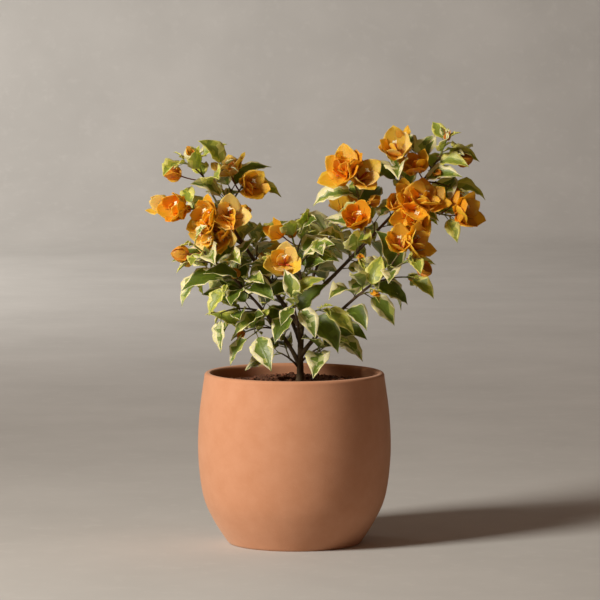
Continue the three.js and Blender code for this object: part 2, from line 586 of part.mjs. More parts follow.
/** Everything that grows, and the room that it has taken. Each group starts with what carries the rest. */
class Crown {
  constructor(woody) {
    this.wood = woody.flatMap((path) => path.points);
    this.blades = [];
  }

  /** Whether a blade keeps clear of the planter, the wood and the blades so far. */
  hasRoom(midrib) {
    return midrib.marks.every((mark) => {
      const overRim = Math.hypot(mark.x, mark.y) > RIM_START;
      if (mark.z < SOIL_TOP + (overRim ? OVER_RIM : OVER_SOIL)) return false;
      if (this.wood.some((point) => point.distanceTo(mark) < WOOD_ROOM)) return false;
      return this.blades.every((other) => other.distanceTo(mark) > ROOM);
    });
  }

  take(midrib) {
    this.blades.push(...midrib.marks);
    return midrib;
  }

  /** A leaf at a place on a path, turned until it has room; size 1 is full grown. */
  leafOn(path, t, around, size, random) {
    const stem = path.headingAt(t);
    const side = path.sideAt(t);
    const over = stem.clone().cross(side);
    for (let i = 0; i < TRIES; i++) {
      const turned = radians(around + random.between(-TURN_SPREAD, TURN_SPREAD) * (1 + 2 * i));
      const angle = radians(LEAF_ANGLE + random.between(-ANGLE_SPREAD, ANGLE_SPREAD));
      const out = side.clone().multiplyScalar(Math.cos(turned)).addScaledVector(over, Math.sin(turned));
      const along = stem.clone().multiplyScalar(Math.cos(angle)).addScaledVector(out, Math.sin(angle));
      along.addScaledVector(UP, LEAF_LIFT).normalize();
      const face = squareTo(UP.clone().addScaledVector(stem, FACE_LIFT), along);
      face.applyAxisAngle(along, radians(random.between(-LEAF_ROLL, LEAF_ROLL)));
      const sag = random.between(...LEAF_SAG) * Math.min(1, size);
      const climb = degrees(Math.asin(along.z));
      const bend = Math.max(STRAIGHTEST, Math.min(sag, climb + STEEPEST));
      const midrib = new Midrib(path.pointAt(t), along, face, PETIOLE + LEAF_LENGTH * size, bend);
      if (this.hasRoom(midrib)) return [{ kind: "leaf", midrib: this.take(midrib).turnTo(path.light) }];
    }
    return [];
  }

  /** A short twig with three leaves. */
  spurOn(path, t, around, size, random) {
    const stem = path.headingAt(t);
    const side = path.sideAt(t);
    const turned = radians(around);
    const out = side.clone().multiplyScalar(Math.cos(turned));
    out.addScaledVector(stem.clone().cross(side), Math.sin(turned));
    const along = stem.clone().add(out).addScaledVector(UP, LEAF_LIFT).normalize();
    const bearing = degrees(Math.atan2(along.y, along.x));
    const climb = degrees(Math.asin(along.z));
    const length = random.between(...SPUR_LENGTH);
    const { light } = path;
    const spec = { length, bearing: [bearing, bearing], climb: [climb, climb], radius: SPUR_RADIUS, light };
    const spur = taperedPath(path.pointAt(t), spec);
    const group = [{ kind: "twig", path: spur }];
    const [first, step] = SPUR_LEAVES;
    for (let k = 0; k < 3; k++) {
      const leafSize = size * (1 - SPUR_SHRINK * k);
      group.push(...this.leafOn(spur, first + step * k, around + k * GOLDEN_ANGLE, leafSize, random));
    }
    return group.length > 1 ? group : [];
  }

  /** Every leaf of a shoot, by turns of the golden angle. */
  leavesAlong(path, phase, random) {
    const groups = [];
    const count = Math.floor(path.length / LEAF_STEP);
    for (let i = 1; i <= count; i++) {
      const t = Math.min(1, (i - 0.3 + random.between(-LEAF_SHIFT, LEAF_SHIFT)) / count);
      const around = phase + i * GOLDEN_ANGLE;
      const size = Math.min(LARGEST[1], LARGEST[0] - YOUNG * t ** 3) * random.between(...LEAF_SIZES);
      const grow = random.next() < SPUR_SHARE && t < SPUR_END ? this.spurOn : this.leafOn;
      groups.push(grow.call(this, path, t, around, size, random));
    }
    return groups.filter((group) => group.length);
  }

  /** A bloom: a stalk with three bracts that stand round its end. */
  bloomOn(path, { at, reach, bearing, climb, size, open }, random) {
    const bent = [climb - STALK_BEND, climb + STALK_BEND];
    const spec = { length: reach, bearing: [bearing, bearing], climb: bent, radius: STALK_RADIUS };
    const stalk = taperedPath(path.pointAt(at), spec);
    const axis = stalk.headingAt(1);
    const side = stalk.sideAt(1);
    const over = axis.clone().cross(side);
    const foot = stalk.pointAt(1).addScaledVector(axis, -BRACT_SUNK);
    const turn = random.between(0, 120);
    const group = [{ kind: "twig", path: stalk }];
    if (open < BUD_OPEN) {
      const along = { length: size, bearing: [bearing, bearing], climb: [bent[1], bent[1]] };
      return [...group, { kind: "bud", path: new Path(foot, along) }];
    }
    for (let k = 0; k < 3; k++) {
      const around = radians(turn + k * 120 + random.between(-BRACT_TURN, BRACT_TURN));
      const spread = radians(mix(...BRACT_SPREAD, open) + random.between(-BRACT_TILT, BRACT_TILT));
      const out = side.clone().multiplyScalar(Math.cos(around)).addScaledVector(over, Math.sin(around));
      const along = axis.clone().multiplyScalar(Math.cos(spread)).addScaledVector(out, Math.sin(spread));
      const length = size * random.between(...BRACT_SIZES);
      const midrib = new Midrib(foot, along, squareTo(axis, along), length, mix(...BRACT_BEND, open));
      group.push({ kind: "bract", midrib: this.take(midrib) });
    }
    return group;
  }
}

/** The solid of one thing that grew. */
function solidFor({ kind, path, midrib }) {
  if (kind === "leaf") return leafSolid(midrib);
  if (kind === "bract") return bractSolid(midrib);
  if (kind === "bud") return budSolid(path);
  return twigSolid(path);
}

/** Whether a solid keeps clear of every obstacle. */
function isClear(solid, obstacles) {
  const box = solid.boundingBox();
  return obstacles.every(({ solid: other, box: around }) => {
    const apart = [0, 1, 2].some(
      (i) => box.min[i] - LEAF_CLEAR > around.max[i] || box.max[i] + LEAF_CLEAR < around.min[i],
    );
    return apart || solid.minGap(other, LEAF_CLEAR * 2) >= LEAF_CLEAR;
  });
}

/** A solid with the box round it, for quick tests of what is near. */
function obstacle(solid) {
  return { solid, box: solid.boundingBox() };
}

/** The one body that fused parts make: sealed hollows are filled and loose scraps dropped. */
function fuse(parts) {
  const bodies = wasm.Manifold.union(parts).simplify(FUSE_TOLERANCE).decompose();
  return bodies.reduce((a, b) => (b.volume() > a.volume() ? b : a));
}

/** Whether a solid stays closed when vertices that all but coincide are merged. */
function isSound(solid) {
  const { vertProperties, triVerts } = solid.getMesh();
  const places = new Map();
  const merged = [];
  for (let i = 0; i < vertProperties.length; i += 3) {
    const key = [...vertProperties.subarray(i, i + 3)].map((v) => v.toFixed(MERGE_PLACES)).join();
    if (!places.has(key)) places.set(key, places.size);
    merged.push(places.get(key));
  }
  const uses = new Map();
  for (let i = 0; i < triVerts.length; i += 3) {
    const corners = [0, 1, 2].map((k) => merged[triVerts[i + k]]);
    if (new Set(corners).size < 3) continue;
    corners.forEach((a, k) => {
      const edge = [a, corners[(k + 1) % 3]].sort().join();
      uses.set(edge, (uses.get(edge) ?? 0) + 1);
    });
  }
  return [...uses.values()].every((count) => count === 2);
}

/** A mass fused from its stem and what grows on it, without a part that would spoil the fusing. */
function fuseMass(parts) {
  let solid = fuse(parts);
  for (let i = parts.length - 1; i > 0 && !isSound(solid); i--)
    solid = fuse(parts.filter((_, k) => k !== i));
  return solid;
}

// ---------------------------------------------------------------- assembly

const plant = new THREE.Group();

/** Adds a named mesh for a solid. */
function addNode(name, solid, colour) {
  const material = new THREE.MeshStandardMaterial({ ...colour, metalness: 0 });
  const mesh = new THREE.Mesh(geometryOf(solid), material);
  mesh.name = name;
  plant.add(mesh);
}

const pot = potSolid();
const soil = soilSolid();
const trunk = trunkPath();
const trunkSolid = limb(trunk, trunk.radiusAt, TRUNK_SIDES, TRUNK_STEPS);
addNode("pot", pot, COLOURS.pot);
addNode("soil", soil, COLOURS.soil);
addNode("trunk", trunkSolid, COLOURS.wood);

const boughs = new Map();
const limbs = [obstacle(pot), obstacle(soil), obstacle(trunkSolid)];
for (const spec of BOUGHS) {
  const path = taperedPath(forkFrom(trunk, spec.height, spec, BOUGH_SIDES), spec);
  const solid = limb(path, path.radiusAt, BOUGH_SIDES, Math.round(spec.length / BOUGH_STEP));
  boughs.set(spec.name, path);
  limbs.push(obstacle(solid));
  addNode(`bough_${spec.name}`, solid, COLOURS.wood);
}

const shoots = new Map(MASSES.map((mass) => [mass.name, shootsOf(mass, trunk, boughs)]));
const crown = new Crown([trunk, ...boughs.values(), ...[...shoots.values()].flat()]);
const growth = new Map();
for (const mass of MASSES) {
  const random = new Random(mass.seed);
  const paths = shoots.get(mass.name);
  growth.set(mass.name, { random, groups: mass.blooms.map((b) => crown.bloomOn(paths[b.on], b, random)) });
}
for (const mass of MASSES) {
  const { random, groups } = growth.get(mass.name);
  shoots
    .get(mass.name)
    .forEach((path, i) => groups.push(...crown.leavesAlong(path, mass.shoots[i].phase, random)));
}

const fused = new Map();
for (const [name, paths] of shoots) fused.set(name, obstacle(fuse(paths.map(twigSolid))));
for (const [name, { groups }] of growth) {
  const others = [...fused].filter(([other]) => other !== name).map(([, value]) => value);
  const obstacles = [...limbs, ...others];
  const kept = [fused.get(name).solid];
  for (const group of groups) {
    const [first, ...rest] = group.map(solidFor);
    if (isClear(first, obstacles)) kept.push(first, ...rest.filter((part) => isClear(part, obstacles)));
  }
  const solid = fuseMass(kept);
  fused.set(name, obstacle(solid));
  addNode(name, solid, COLOURS.foliage);
}

export default plant;
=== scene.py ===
"""A bougainvillea bush in a round terracotta planter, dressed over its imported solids.

Lengths are in millimetres and angles in degrees until a mesh is finished, which scales it to metres.
The front is -Y and up is +Z. A bearing is an angle in plan from +X towards +Y, a climb one above the level.
"""

import logging
import math
from collections.abc import Callable, Sequence
from dataclasses import dataclass, field, replace
from enum import Enum

import bmesh
import bpy
import numpy as np
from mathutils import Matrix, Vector, noise


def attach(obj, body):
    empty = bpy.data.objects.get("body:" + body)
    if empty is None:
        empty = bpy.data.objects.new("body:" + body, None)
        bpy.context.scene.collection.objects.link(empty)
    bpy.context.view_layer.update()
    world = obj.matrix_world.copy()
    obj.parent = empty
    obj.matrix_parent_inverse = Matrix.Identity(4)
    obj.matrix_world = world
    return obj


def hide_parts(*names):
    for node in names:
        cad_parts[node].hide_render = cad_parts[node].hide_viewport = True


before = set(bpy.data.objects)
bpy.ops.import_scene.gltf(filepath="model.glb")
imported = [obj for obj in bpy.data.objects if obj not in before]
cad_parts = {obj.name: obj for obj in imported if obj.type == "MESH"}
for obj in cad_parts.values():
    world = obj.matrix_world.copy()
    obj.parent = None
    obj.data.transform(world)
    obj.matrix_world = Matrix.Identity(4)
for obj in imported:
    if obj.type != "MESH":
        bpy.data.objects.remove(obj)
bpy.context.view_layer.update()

log = logging.getLogger("bush")

MM = 0.001
WELD = 0.004  # vertices nearer than this are one
BODY = "root"
FRONT_LIGHT = 245.0  # bearing that the leaves of most masses turn their upper faces to
BACK_LIGHT = 90.0
BRACTS = 3  # in a bloom
THIRD = 360 / BRACTS
TINY = 1e-9  # keeps an index below its end
STRAIGHT = 1e-6  # bend in radians that stands for none
FAR_AWAY = 1e6

Vec = np.ndarray
Pair = tuple[float, float]
Triple = tuple[float, float, float]
Socket = bpy.types.NodeSocket
Rail = Callable[[float], tuple[Vec, Vec, Vec]]  # a share of a length -> point, side, over
UP = np.array([0.0, 0.0, 1.0])


# ---------------------------------------------------------------- vectors and chance


def mix(low: float, high: float, t: float) -> float:
    """A value that share t of the way from low to high."""
    return (1 - t) * low + t * high


def heading(bearing: float, climb: float) -> Vec:
    """Unit vector with a bearing and a climb."""
    b, c = math.radians(bearing), math.radians(climb)
    return np.array([math.cos(c) * math.cos(b), math.cos(c) * math.sin(b), math.sin(c)])


def unit(v: Vec) -> Vec:
    """The vector made one long."""
    return v / math.sqrt(float(v @ v))


def square_to(v: Vec, axis: Vec) -> Vec:
    """The part of v square to the unit vector axis, made one long."""
    return unit(v - (v @ axis) * axis)


def cross(a: Vec, b: Vec) -> Vec:
    """Cross product of two vectors."""
    return np.array([a[1] * b[2] - a[2] * b[1], a[2] * b[0] - a[0] * b[2], a[0] * b[1] - a[1] * b[0]])


def around(side: Vec, over: Vec, angle: float) -> Vec:
    """Unit vector at an angle from side towards over."""
    a = math.radians(angle)
    return side * math.cos(a) + over * math.sin(a)


class Chance:
    """Repeatable random numbers, by Park and Miller's generator."""

    SPREAD = 7919  # sets neighbouring seeds apart
    FACTOR = 16807
    MODULUS = 2147483647
    WARM_UP = 3

    def __init__(self, seed: int) -> None:
        """Starts the sequence that belongs to a seed.

        Args:
            seed: any whole number above 0.
        """
        self._state = seed * self.SPREAD
        for _ in range(self.WARM_UP):
            self.next()

    def next(self) -> float:
        """The next number between 0 and 1."""
        self._state = self._state * self.FACTOR % self.MODULUS
        return self._state / self.MODULUS

    def between(self, low: float, high: float) -> float:
        """The next number between low and high."""
        return mix(low, high, self.next())


# ---------------------------------------------------------------- lines that things grow along


@dataclass
class Path:
    """A bent, tapering line whose bearing and climb turn evenly, or late, from one end to the other."""

    start: Vec
    length: float
    bearing: Pair
    climb: Pair
    radius: Pair
    late: float = 1.0
    light: Vec | None = None
    pieces: int = 24
    points: list[Vec] = field(init=False)

    def __post_init__(self) -> None:
        """Walks along the line from its start."""
        self.points = [np.array(self.start, float)]
        for i in range(self.pieces):
            step = self.heading_at((i + 0.5) / self.pieces) * (self.length / self.pieces)
            self.points.append(self.points[-1] + step)

    def _turned(self, t: float) -> float:
        """How much of its turning the line has done at share t of its length."""
        return t**self.late if t > 0 else 0.0

    def heading_at(self, t: float) -> Vec:
        """Direction of the line at share t of its length."""
        turned = self._turned(t)
        return heading(mix(*self.bearing, turned), mix(*self.climb, turned))

    def side_at(self, t: float) -> Vec:
        """Level vector square to the line."""
        return heading(mix(*self.bearing, self._turned(t)) + 90, 0)

    def point_at(self, t: float) -> Vec:
        """Point at share t, which may lie a little before the start.

        Args:
            t: share of the length.

        Returns:
            The point.
        """
        if t < 0:
            return self.points[0] + self.heading_at(0) * (t * self.length)
        scaled = min(t * self.pieces, self.pieces - TINY)
        i = int(scaled)
        return self.points[i] + (self.points[i + 1] - self.points[i]) * (scaled - i)

    def radius_at(self, t: float) -> float:
        """Radius of the wood at share t."""
        return mix(*self.radius, t)

    def rail(self, t: float) -> tuple[Vec, Vec, Vec]:
        """Point, side and over at share t, for a limb laid along the line."""
        side = self.side_at(t)
        return self.point_at(t), side, cross(self.heading_at(t), side)


@dataclass
class TrunkPath(Path):
    """The trunk's line, whose foot flares."""

    flare: float = 3.6
    flare_power: int = 14

    def radius_at(self, t: float) -> float:
        """Radius of the wood at share t."""
        return mix(*self.radius, t) + self.flare * (1 - t) ** self.flare_power


@dataclass
class Midrib:
    """The line down the middle of a blade: an arc that bends away from the blade's upper face."""

    base: Vec
    along: Vec
    face: Vec
    length: float
    bend: float
    roll: float = 0.0
    room_shares: tuple[float, ...] = (0.4, 0.68, 0.96)

    @classmethod
    def facing(cls, base: Vec, along: Vec, towards: Vec, length: float, bend: float) -> "Midrib":
        """A midrib whose upper face turns to a direction.

        Args:
            base: where it starts.
            along: its direction there.
            towards: what its upper face turns to.
            length: of the arc.
            bend: of the arc.

        Returns:
            The midrib.
        """
        return cls(base, along, square_to(towards, along), length, bend)

    def turn_to(self, light: Vec, share: float, limit: float) -> "Midrib":
        """Rolls the blade round the arc, a share of the way that would turn its upper face to the light.

        Args:
            light: where the light comes from.
            share: of the turn that is made.
            limit: largest turn.

        Returns:
            The midrib itself.
        """
        _, along, face = self.at(self.length / 2)
        off = math.degrees(math.atan2(light @ cross(along, face), light @ face))
        self.roll = max(-limit, min(limit, off * share))
        return self

    def at(self, distance: float) -> tuple[Vec, Vec, Vec]:
        """Point, direction and upper face at a distance from the base.

        Args:
            distance: along the arc.

        Returns:
            Point, direction and upper face.
        """
        bend = math.radians(self.bend) or STRAIGHT
        turn = bend * distance / self.length
        reach = self.length / bend
        point = self.base + self.along * (reach * math.sin(turn)) - self.face * (reach * (1 - math.cos(turn)))
        along = self.along * math.cos(turn) - self.face * math.sin(turn)
        face = self.face * math.cos(turn) + self.along * math.sin(turn)
        return point, along, around(face, cross(along, face), self.roll)

    @property
    def marks(self) -> list[Vec]:
        """Points that stand for the blade when leaves are kept apart."""
        return [self.at(share * self.length)[0] for share in self.room_shares]

    def rail(self, t: float) -> tuple[Vec, Vec, Vec]:
        """Point, side and over at share t, for a limb laid along the line.

        Args:
            t: share of the length.

        Returns:
            Point, side and over.
        """
        point, along, face = self.at(t * self.length)
        side = cross(along, face)
        return point, side, cross(along, side)


# ---------------------------------------------------------------- what the crown is grown from


@dataclass(frozen=True)
class Bough:
    """A limb that leaves the trunk at a height and runs bare as far as the foliage it carries."""

    name: str
    height: float
    length: float
    bearing: Pair
    climb: Pair
    radius: Pair


@dataclass(frozen=True)
class Shoot:
    """A stem of a mass, or a twig that leaves an earlier shoot at a share of its length."""

    length: float
    bearing: Pair
    climb: Pair
    radius: Pair
    phase: float
    late: float = 1.0
    on: int = 0
    at: float = 0.0


@dataclass(frozen=True)
class Bloom:
    """Three bracts round a stalk's end: where the stalk stands, its reach, and how far the bloom is open."""

    on: int
    at: float
    reach: float
    bearing: float
    climb: float
    size: float
    open: float


@dataclass(frozen=True)
class Mass:
    """One mass of foliage, on a bough's tip, on the trunk's tip or on the trunk at a height."""

    name: str
    seed: int
    shoots: tuple[Shoot, ...]
    blooms: tuple[Bloom, ...] = ()
    bough: str = ""
    on_tip: bool = False
    height: float = 0.0
    light: float = FRONT_LIGHT


BOUGHS = (
    Bough("left_low", 240, 30, (186, 188), (61, 56), (2.9, 2.5)),
    Bough("left_high", 290, 52, (170, 171), (52, 55), (3.1, 2.7)),
    Bough("right_low", 253, 62, (347, 343), (52, 44), (2.9, 2.4)),
    Bough("right_high", 319, 54, (8, 11), (46, 43), (2.9, 2.6)),
    Bough("back_left", 268, 40, (128, 132), (58, 53), (2.6, 2.2)),
    Bough("back_right", 303, 40, (72, 64), (56, 52), (2.6, 2.2)),
    Bough("front", 264, 22, (262, 258), (54, 50), (2.4, 2.1)),
)

MASSES = (
    Mass(
        "foliage_left_low",
        seed=21,
        bough="left_low",
        shoots=(
            Shoot(178, (190, 200), (55, 36), (2.4, 1), 20),
            Shoot(50, (205, 198), (22, -25), (1.5, 0.8), 40, at=0.06),
            Shoot(68, (212, 196), (26, -20), (1.5, 0.8), 90, at=0.22),
            Shoot(46, (218, 228), (40, 10), (1.5, 0.8), 250, at=0.4),
            Shoot(56, (165, 160), (42, 25), (1.5, 0.8), 10, at=0.52),
            Shoot(34, (190, 185), (15, -5), (1.4, 0.8), 200, at=0.76),
        ),
        blooms=(
            Bloom(0, 0.9, 20, 182, -6, 25, 0.05),
            Bloom(0, 0.5, 14, 200, 60, 16, 0.1),
        ),
    ),
    Mass(
        "foliage_left_high",
        seed=34,
        bough="left_high",
        shoots=(
            Shoot(210, (171, 168), (56, 78), (2.6, 1), 105, late=5),
            Shoot(56, (75, 30), (64, 44), (1.6, 0.9), 150, at=0.54),
            Shoot(42, (198, 188), (10, 0), (1.4, 0.8), 0, at=0.61),
            Shoot(42, (200, 215), (35, 10), (1.4, 0.8), 75, at=0.34),
            Shoot(40, (95, 80), (50, 30), (1.4, 0.8), 130, at=0.2),
            Shoot(32, (195, 188), (52, 24), (1.2, 0.8), 30, at=0.86),
            Shoot(36, (345, 335), (55, 30), (1.2, 0.8), 220, at=0.8),
        ),
        blooms=(
            Bloom(1, 0.84, 24, 205, 62, 37, 0.7),
            Bloom(1, 0.96, 10, 300, 6, 38, 0.55),
            Bloom(1, 0.3, 16, 320, -8, 22, 0.3),
            Bloom(2, 0.97, 14, 222, 2, 38, 0.5),
            Bloom(2, 0.85, 36, 178, 4, 34, 0.4),
            Bloom(0, 0.83, 34, 188, 12, 26, 0.27),
            Bloom(0, 0.4, 24, 228, 16, 40, 0.85),
            Bloom(0, 0.55, 26, 222, 4, 40, 0.9),
            Bloom(0, 0.52, 20, 272, 20, 38, 0.75),
            Bloom(0, 0.47, 34, 212, -14, 38, 0.8),
            Bloom(0, 0.5, 24, 240, -24, 38, 0.85),
            Bloom(0, 0.6, 24, 236, -6, 36, 0.55),
            Bloom(0, 0.96, 14, 200, 50, 14, 0.1),
        ),
    ),
    Mass(
        "foliage_middle",
        seed=55,
        on_tip=True,
        shoots=(
            Shoot(82, (175, 165), (84, 76), (2.4, 1.1), 0),
            Shoot(44, (205, 195), (46, 22), (1.5, 0.8), 120, at=0.35),
            Shoot(46, (300, 320), (50, 25), (1.4, 0.8), 40, at=0.5),
            Shoot(44, (80, 60), (50, 30), (1.4, 0.8), 210, at=0.7),
        ),
        blooms=(
            Bloom(1, 0.55, 18, 262, 12, 38, 0.75),
            Bloom(0, 0.9, 20, 205, 34, 30, 0.4),
        ),
    ),
    Mass(
        "foliage_right_low",
        seed=79,
        bough="right_low",
        shoots=(
            Shoot(136, (343, 338), (44, 30), (2.3, 1), 100),
            Shoot(52, (310, 300), (35, 0), (1.4, 0.8), 30, at=0.22),
            Shoot(50, (5, 15), (25, -5), (1.4, 0.8), 160, at=0.5),
            Shoot(44, (335, 330), (62, 46), (1.4, 0.8), 240, at=0.68),
        ),
        blooms=(
            Bloom(0, 0.95, 16, 330, -30, 24, 0.05),
            Bloom(3, 0.9, 14, 325, 20, 38, 0.75),
            Bloom(3, 0.7, 16, 275, 36, 34, 0.6),
        ),
    ),
    Mass(
        "foliage_right_high",
        seed=97,
        bough="right_high",
        shoots=(
            Shoot(236, (11, 8), (45, 72), (2.5, 1), 140, late=5),
            Shoot(92, (200, 190), (86, 70), (1.6, 0.9), 60, at=0.25),
            Shoot(62, (190, 160), (86, 80), (1.6, 0.9), 20, at=0.56),
            Shoot(78, (348, 350), (12, -12), (1.5, 1), 250, at=0.47),
            Shoot(46, (350, 345), (8, -30), (1.4, 0.8), 130, at=0.72),
            Shoot(44, (285, 300), (30, 0), (1.4, 0.8), 200, at=0.08),
            Shoot(32, (352, 345), (45, 15), (1.2, 0.8), 10, at=0.86),
            Shoot(32, (200, 192), (52, 26), (1.2, 0.8), 240, at=0.82),
        ),
        blooms=(
            Bloom(1, 0.95, 14, 235, 24, 42, 0.85),
            Bloom(1, 0.88, 18, 290, 22, 38, 0.75),
            Bloom(1, 0.92, 16, 250, 50, 36, 0.55),
            Bloom(1, 0.25, 16, 250, 20, 38, 0.5),
            Bloom(1, 0.5, 16, 320, 26, 20, 0.3),
            Bloom(2, 0.95, 10, 260, 40, 40, 0.6),
            Bloom(2, 0.95, 16, 60, 80, 34, 0.4),
            Bloom(0, 0.74, 18, 240, 40, 36, 0.6),
            Bloom(0, 0.5, 16, 270, 20, 28, 0.45),
            Bloom(0, 0.58, 14, 255, 40, 24, 0.4),
            Bloom(3, 0.3, 18, 285, 30, 42, 0.85),
            Bloom(3, 0.52, 18, 290, 36, 40, 0.8),
            Bloom(3, 0.42, 18, 265, -16, 38, 0.85),
            Bloom(3, 0.3, 20, 275, -52, 34, 0.7),
            Bloom(3, 1, 14, 320, 8, 40, 0.6),
            Bloom(3, 0.85, 18, 0, 36, 24, 0.3),
            Bloom(0, 0.9, 24, 345, -8, 24, 0.05),
            Bloom(0, 0.8, 14, 300, -10, 15, 0.05),
        ),
    ),
    Mass(
        "foliage_back_left",
        seed=113,
        bough="back_left",
        light=BACK_LIGHT,
        shoots=(
            Shoot(128, (132, 140), (52, 38), (2.1, 1), 70),
            Shoot(50, (100, 90), (40, 10), (1.4, 0.8), 10, at=0.3),
            Shoot(50, (175, 180), (30, 5), (1.4, 0.8), 190, at=0.5),
        ),
        blooms=(
            Bloom(0, 0.95, 18, 120, 40, 38, 0.8),
            Bloom(1, 0.9, 18, 95, 40, 36, 0.7),
        ),
    ),
    Mass(
        "foliage_back_right",
        seed=131,
        bough="back_right",
        light=BACK_LIGHT,
        shoots=(
            Shoot(120, (64, 55), (52, 40), (2.1, 1), 170),
            Shoot(52, (95, 105), (42, 15), (1.4, 0.8), 110, at=0.3),
            Shoot(50, (20, 15), (30, 5), (1.4, 0.8), 290, at=0.5),
        ),
        blooms=(
            Bloom(0, 0.95, 18, 70, 45, 38, 0.8),
            Bloom(1, 0.9, 18, 110, 40, 34, 0.6),
        ),
    ),
    Mass(
        "foliage_front",
        seed=151,
        bough="front",
        shoots=(
            Shoot(60, (258, 250), (62, 36), (2, 1), 30),
            Shoot(46, (330, 312), (44, 14), (1.5, 0.8), 80, at=0.15),
            Shoot(46, (205, 212), (40, 12), (1.5, 0.8), 200, at=0.25),
        ),
    ),
    Mass(
        "foliage_foot_left",
        seed=173,
        height=234,
        shoots=(
            Shoot(32, (200, 192), (50, 20), (1.6, 0.8), 0),
        ),
    ),
    Mass(
        "foliage_foot_right",
        seed=191,
        height=243,
        shoots=(
            Shoot(48, (345, 352), (46, 14), (1.6, 0.8), 90),
        ),
    ),
)


# ---------------------------------------------------------------- growth


@dataclass
class Leaf:
    """A leaf on its petiole: size 1 is full grown, and tip is 1 at the end of its shoot."""

    midrib: Midrib
    size: float
    tip: float


@dataclass
class Twig:
    """A short twig or a flower's stalk."""

    path: Path
    is_stalk: bool = False


@dataclass
class Bract:
    """One of the papery leaves round a flower."""

    midrib: Midrib
    axis: Vec
    open: float


@dataclass
class Bud:
    """A bloom that is still closed."""

    foot: Vec
    axis: Vec
    side: Vec
    size: float


@dataclass
class Habit:
    """The rule that leaves and blooms grow by, the same as in the solids' source."""

    clear: float = 0.3
    soil_top: float = 217.0
    leaf_length: float = 57.0
    petiole: float = 11.0
    leaf_step: float = 15.5
    leaf_shift: float = 0.25
    leaf_angle: float = 58.0
    angle_spread: float = 14.0
    leaf_lift: float = 0.3
    face_lift: float = 0.5
    golden_angle: float = 137.508
    turn_spread: float = 12.0
    first_leaf: float = 0.7  # in steps from the shoot's foot
    young: float = 0.6
    largest: Pair = (1.28, 1.06)
    leaf_sizes: Pair = (0.78, 1.08)
    spur_share: float = 0.24
    spur_end: float = 0.8
    spur_length: Pair = (14, 24)
    spur_radius: Pair = (1.1, 0.8)
    spur_leaves: Pair = (0.7, 0.15)  # where the first one stands, and the step to the next
    spur_count: int = 3
    spur_shrink: float = 0.12
    leaf_roll: float = 28.0
    light_climb: float = 35.0
    light_share: float = 0.7
    light_limit: float = 75.0
    leaf_sag: Pair = (45, 95)
    steepest: float = 75.0
    room: float = 15.0
    wood_room: float = 6.0
    over_soil: float = 7.0
    over_rim: float = 22.0
    rim_start: float = 104.0
    tries: int = 8
    straightest: float = 10.0
    bract_sunk: float = 0.8
    bud_open: float = 0.25
    bract_spread: Pair = (30, 64)
    bract_bend: Pair = (-75, 8)
    bract_turn: float = 12.0
    bract_tilt: float = 6.0
    bract_sizes: Pair = (0.92, 1.08)
    stalk_radius: Pair = (1.0, 0.9)
    stalk_bend: float = 8.0
    twig_sides: int = 3
    bough_sides: int = 6


class Skeleton:
    """The bare wood: trunk, boughs, and the shoots of every mass."""

    TRUNK_X = 7.6
    TRUNK_LENGTH = 113.0
    TRUNK_CLIMB = (90, 86)
    TRUNK_RADIUS = (4.6, 3.3)

    def __init__(self, habit: Habit) -> None:
        """Lays out the wood from the trunk's foot to the tips.

        Args:
            habit: the rule that the plant grows by.
        """
        self.habit = habit
        foot = np.array([self.TRUNK_X, 0.0, habit.soil_top + habit.clear])
        self.trunk = TrunkPath(foot, self.TRUNK_LENGTH, (0, 0), self.TRUNK_CLIMB, self.TRUNK_RADIUS)
        self.boughs = {spec.name: self._bough(spec) for spec in BOUGHS}
        self.shoots = {mass.name: self._shoots(mass) for mass in MASSES}

    def fork(self, height: float, spec: Bough | Shoot, sides: int) -> tuple[Vec, float]:
        """Where a limb starts, clear of the trunk that carries it.

        Args:
            height: of the fork above the ground.
            spec: the limb that starts there.
            sides: of that limb's solid.

        Returns:
            The start, and its distance from the trunk's middle.
        """
        t = (height - self.trunk.points[0][2]) / self.trunk.length
        slope = math.radians(spec.climb[0])
        edge = spec.radius[0] * (math.cos(math.pi / sides) if sides % 2 else 1)
        out = (self.trunk.radius_at(t) + self.habit.clear + edge * math.sin(slope)) / math.cos(slope)
        fork = self.trunk.point_at(t + out * math.sin(slope) / self.trunk.length)
        fork[2] = height
        return fork + heading(spec.bearing[0], spec.climb[0]) * out, out

    def _bough(self, spec: Bough) -> Path:
        """The line of one bough."""
        start, _ = self.fork(spec.height, spec, self.habit.bough_sides)
        return Path(start, spec.length, spec.bearing, spec.climb, spec.radius)

    def _shoots(self, mass: Mass) -> list[Path]:
        """The stem and shoots of a mass, each starting inside its parent.

        Args:
            mass: whose shoots they are.

        Returns:
            Their lines, in the mass's order.
        """
        stem = mass.shoots[0]
        if mass.height:
            start, _ = self.fork(mass.height, stem, self.habit.twig_sides)
        else:
            parent = self.trunk if mass.on_tip else self.boughs[mass.bough]
            start = parent.point_at(1) + heading(stem.bearing[0], stem.climb[0]) * (2 * self.habit.clear)
        light = heading(mass.light, self.habit.light_climb)
        paths: list[Path] = []
        for shoot in mass.shoots:
            foot = paths[shoot.on].point_at(shoot.at) if paths else start
            bends = (shoot.bearing, shoot.climb, shoot.radius, shoot.late)
            paths.append(Path(foot, shoot.length, *bends, light=light))
        return paths

    @property
    def wood(self) -> list[Vec]:
        """Points along all the wood."""
        shoots = [path for paths in self.shoots.values() for path in paths]
        return [point for path in (self.trunk, *self.boughs.values(), *shoots) for point in path.points]


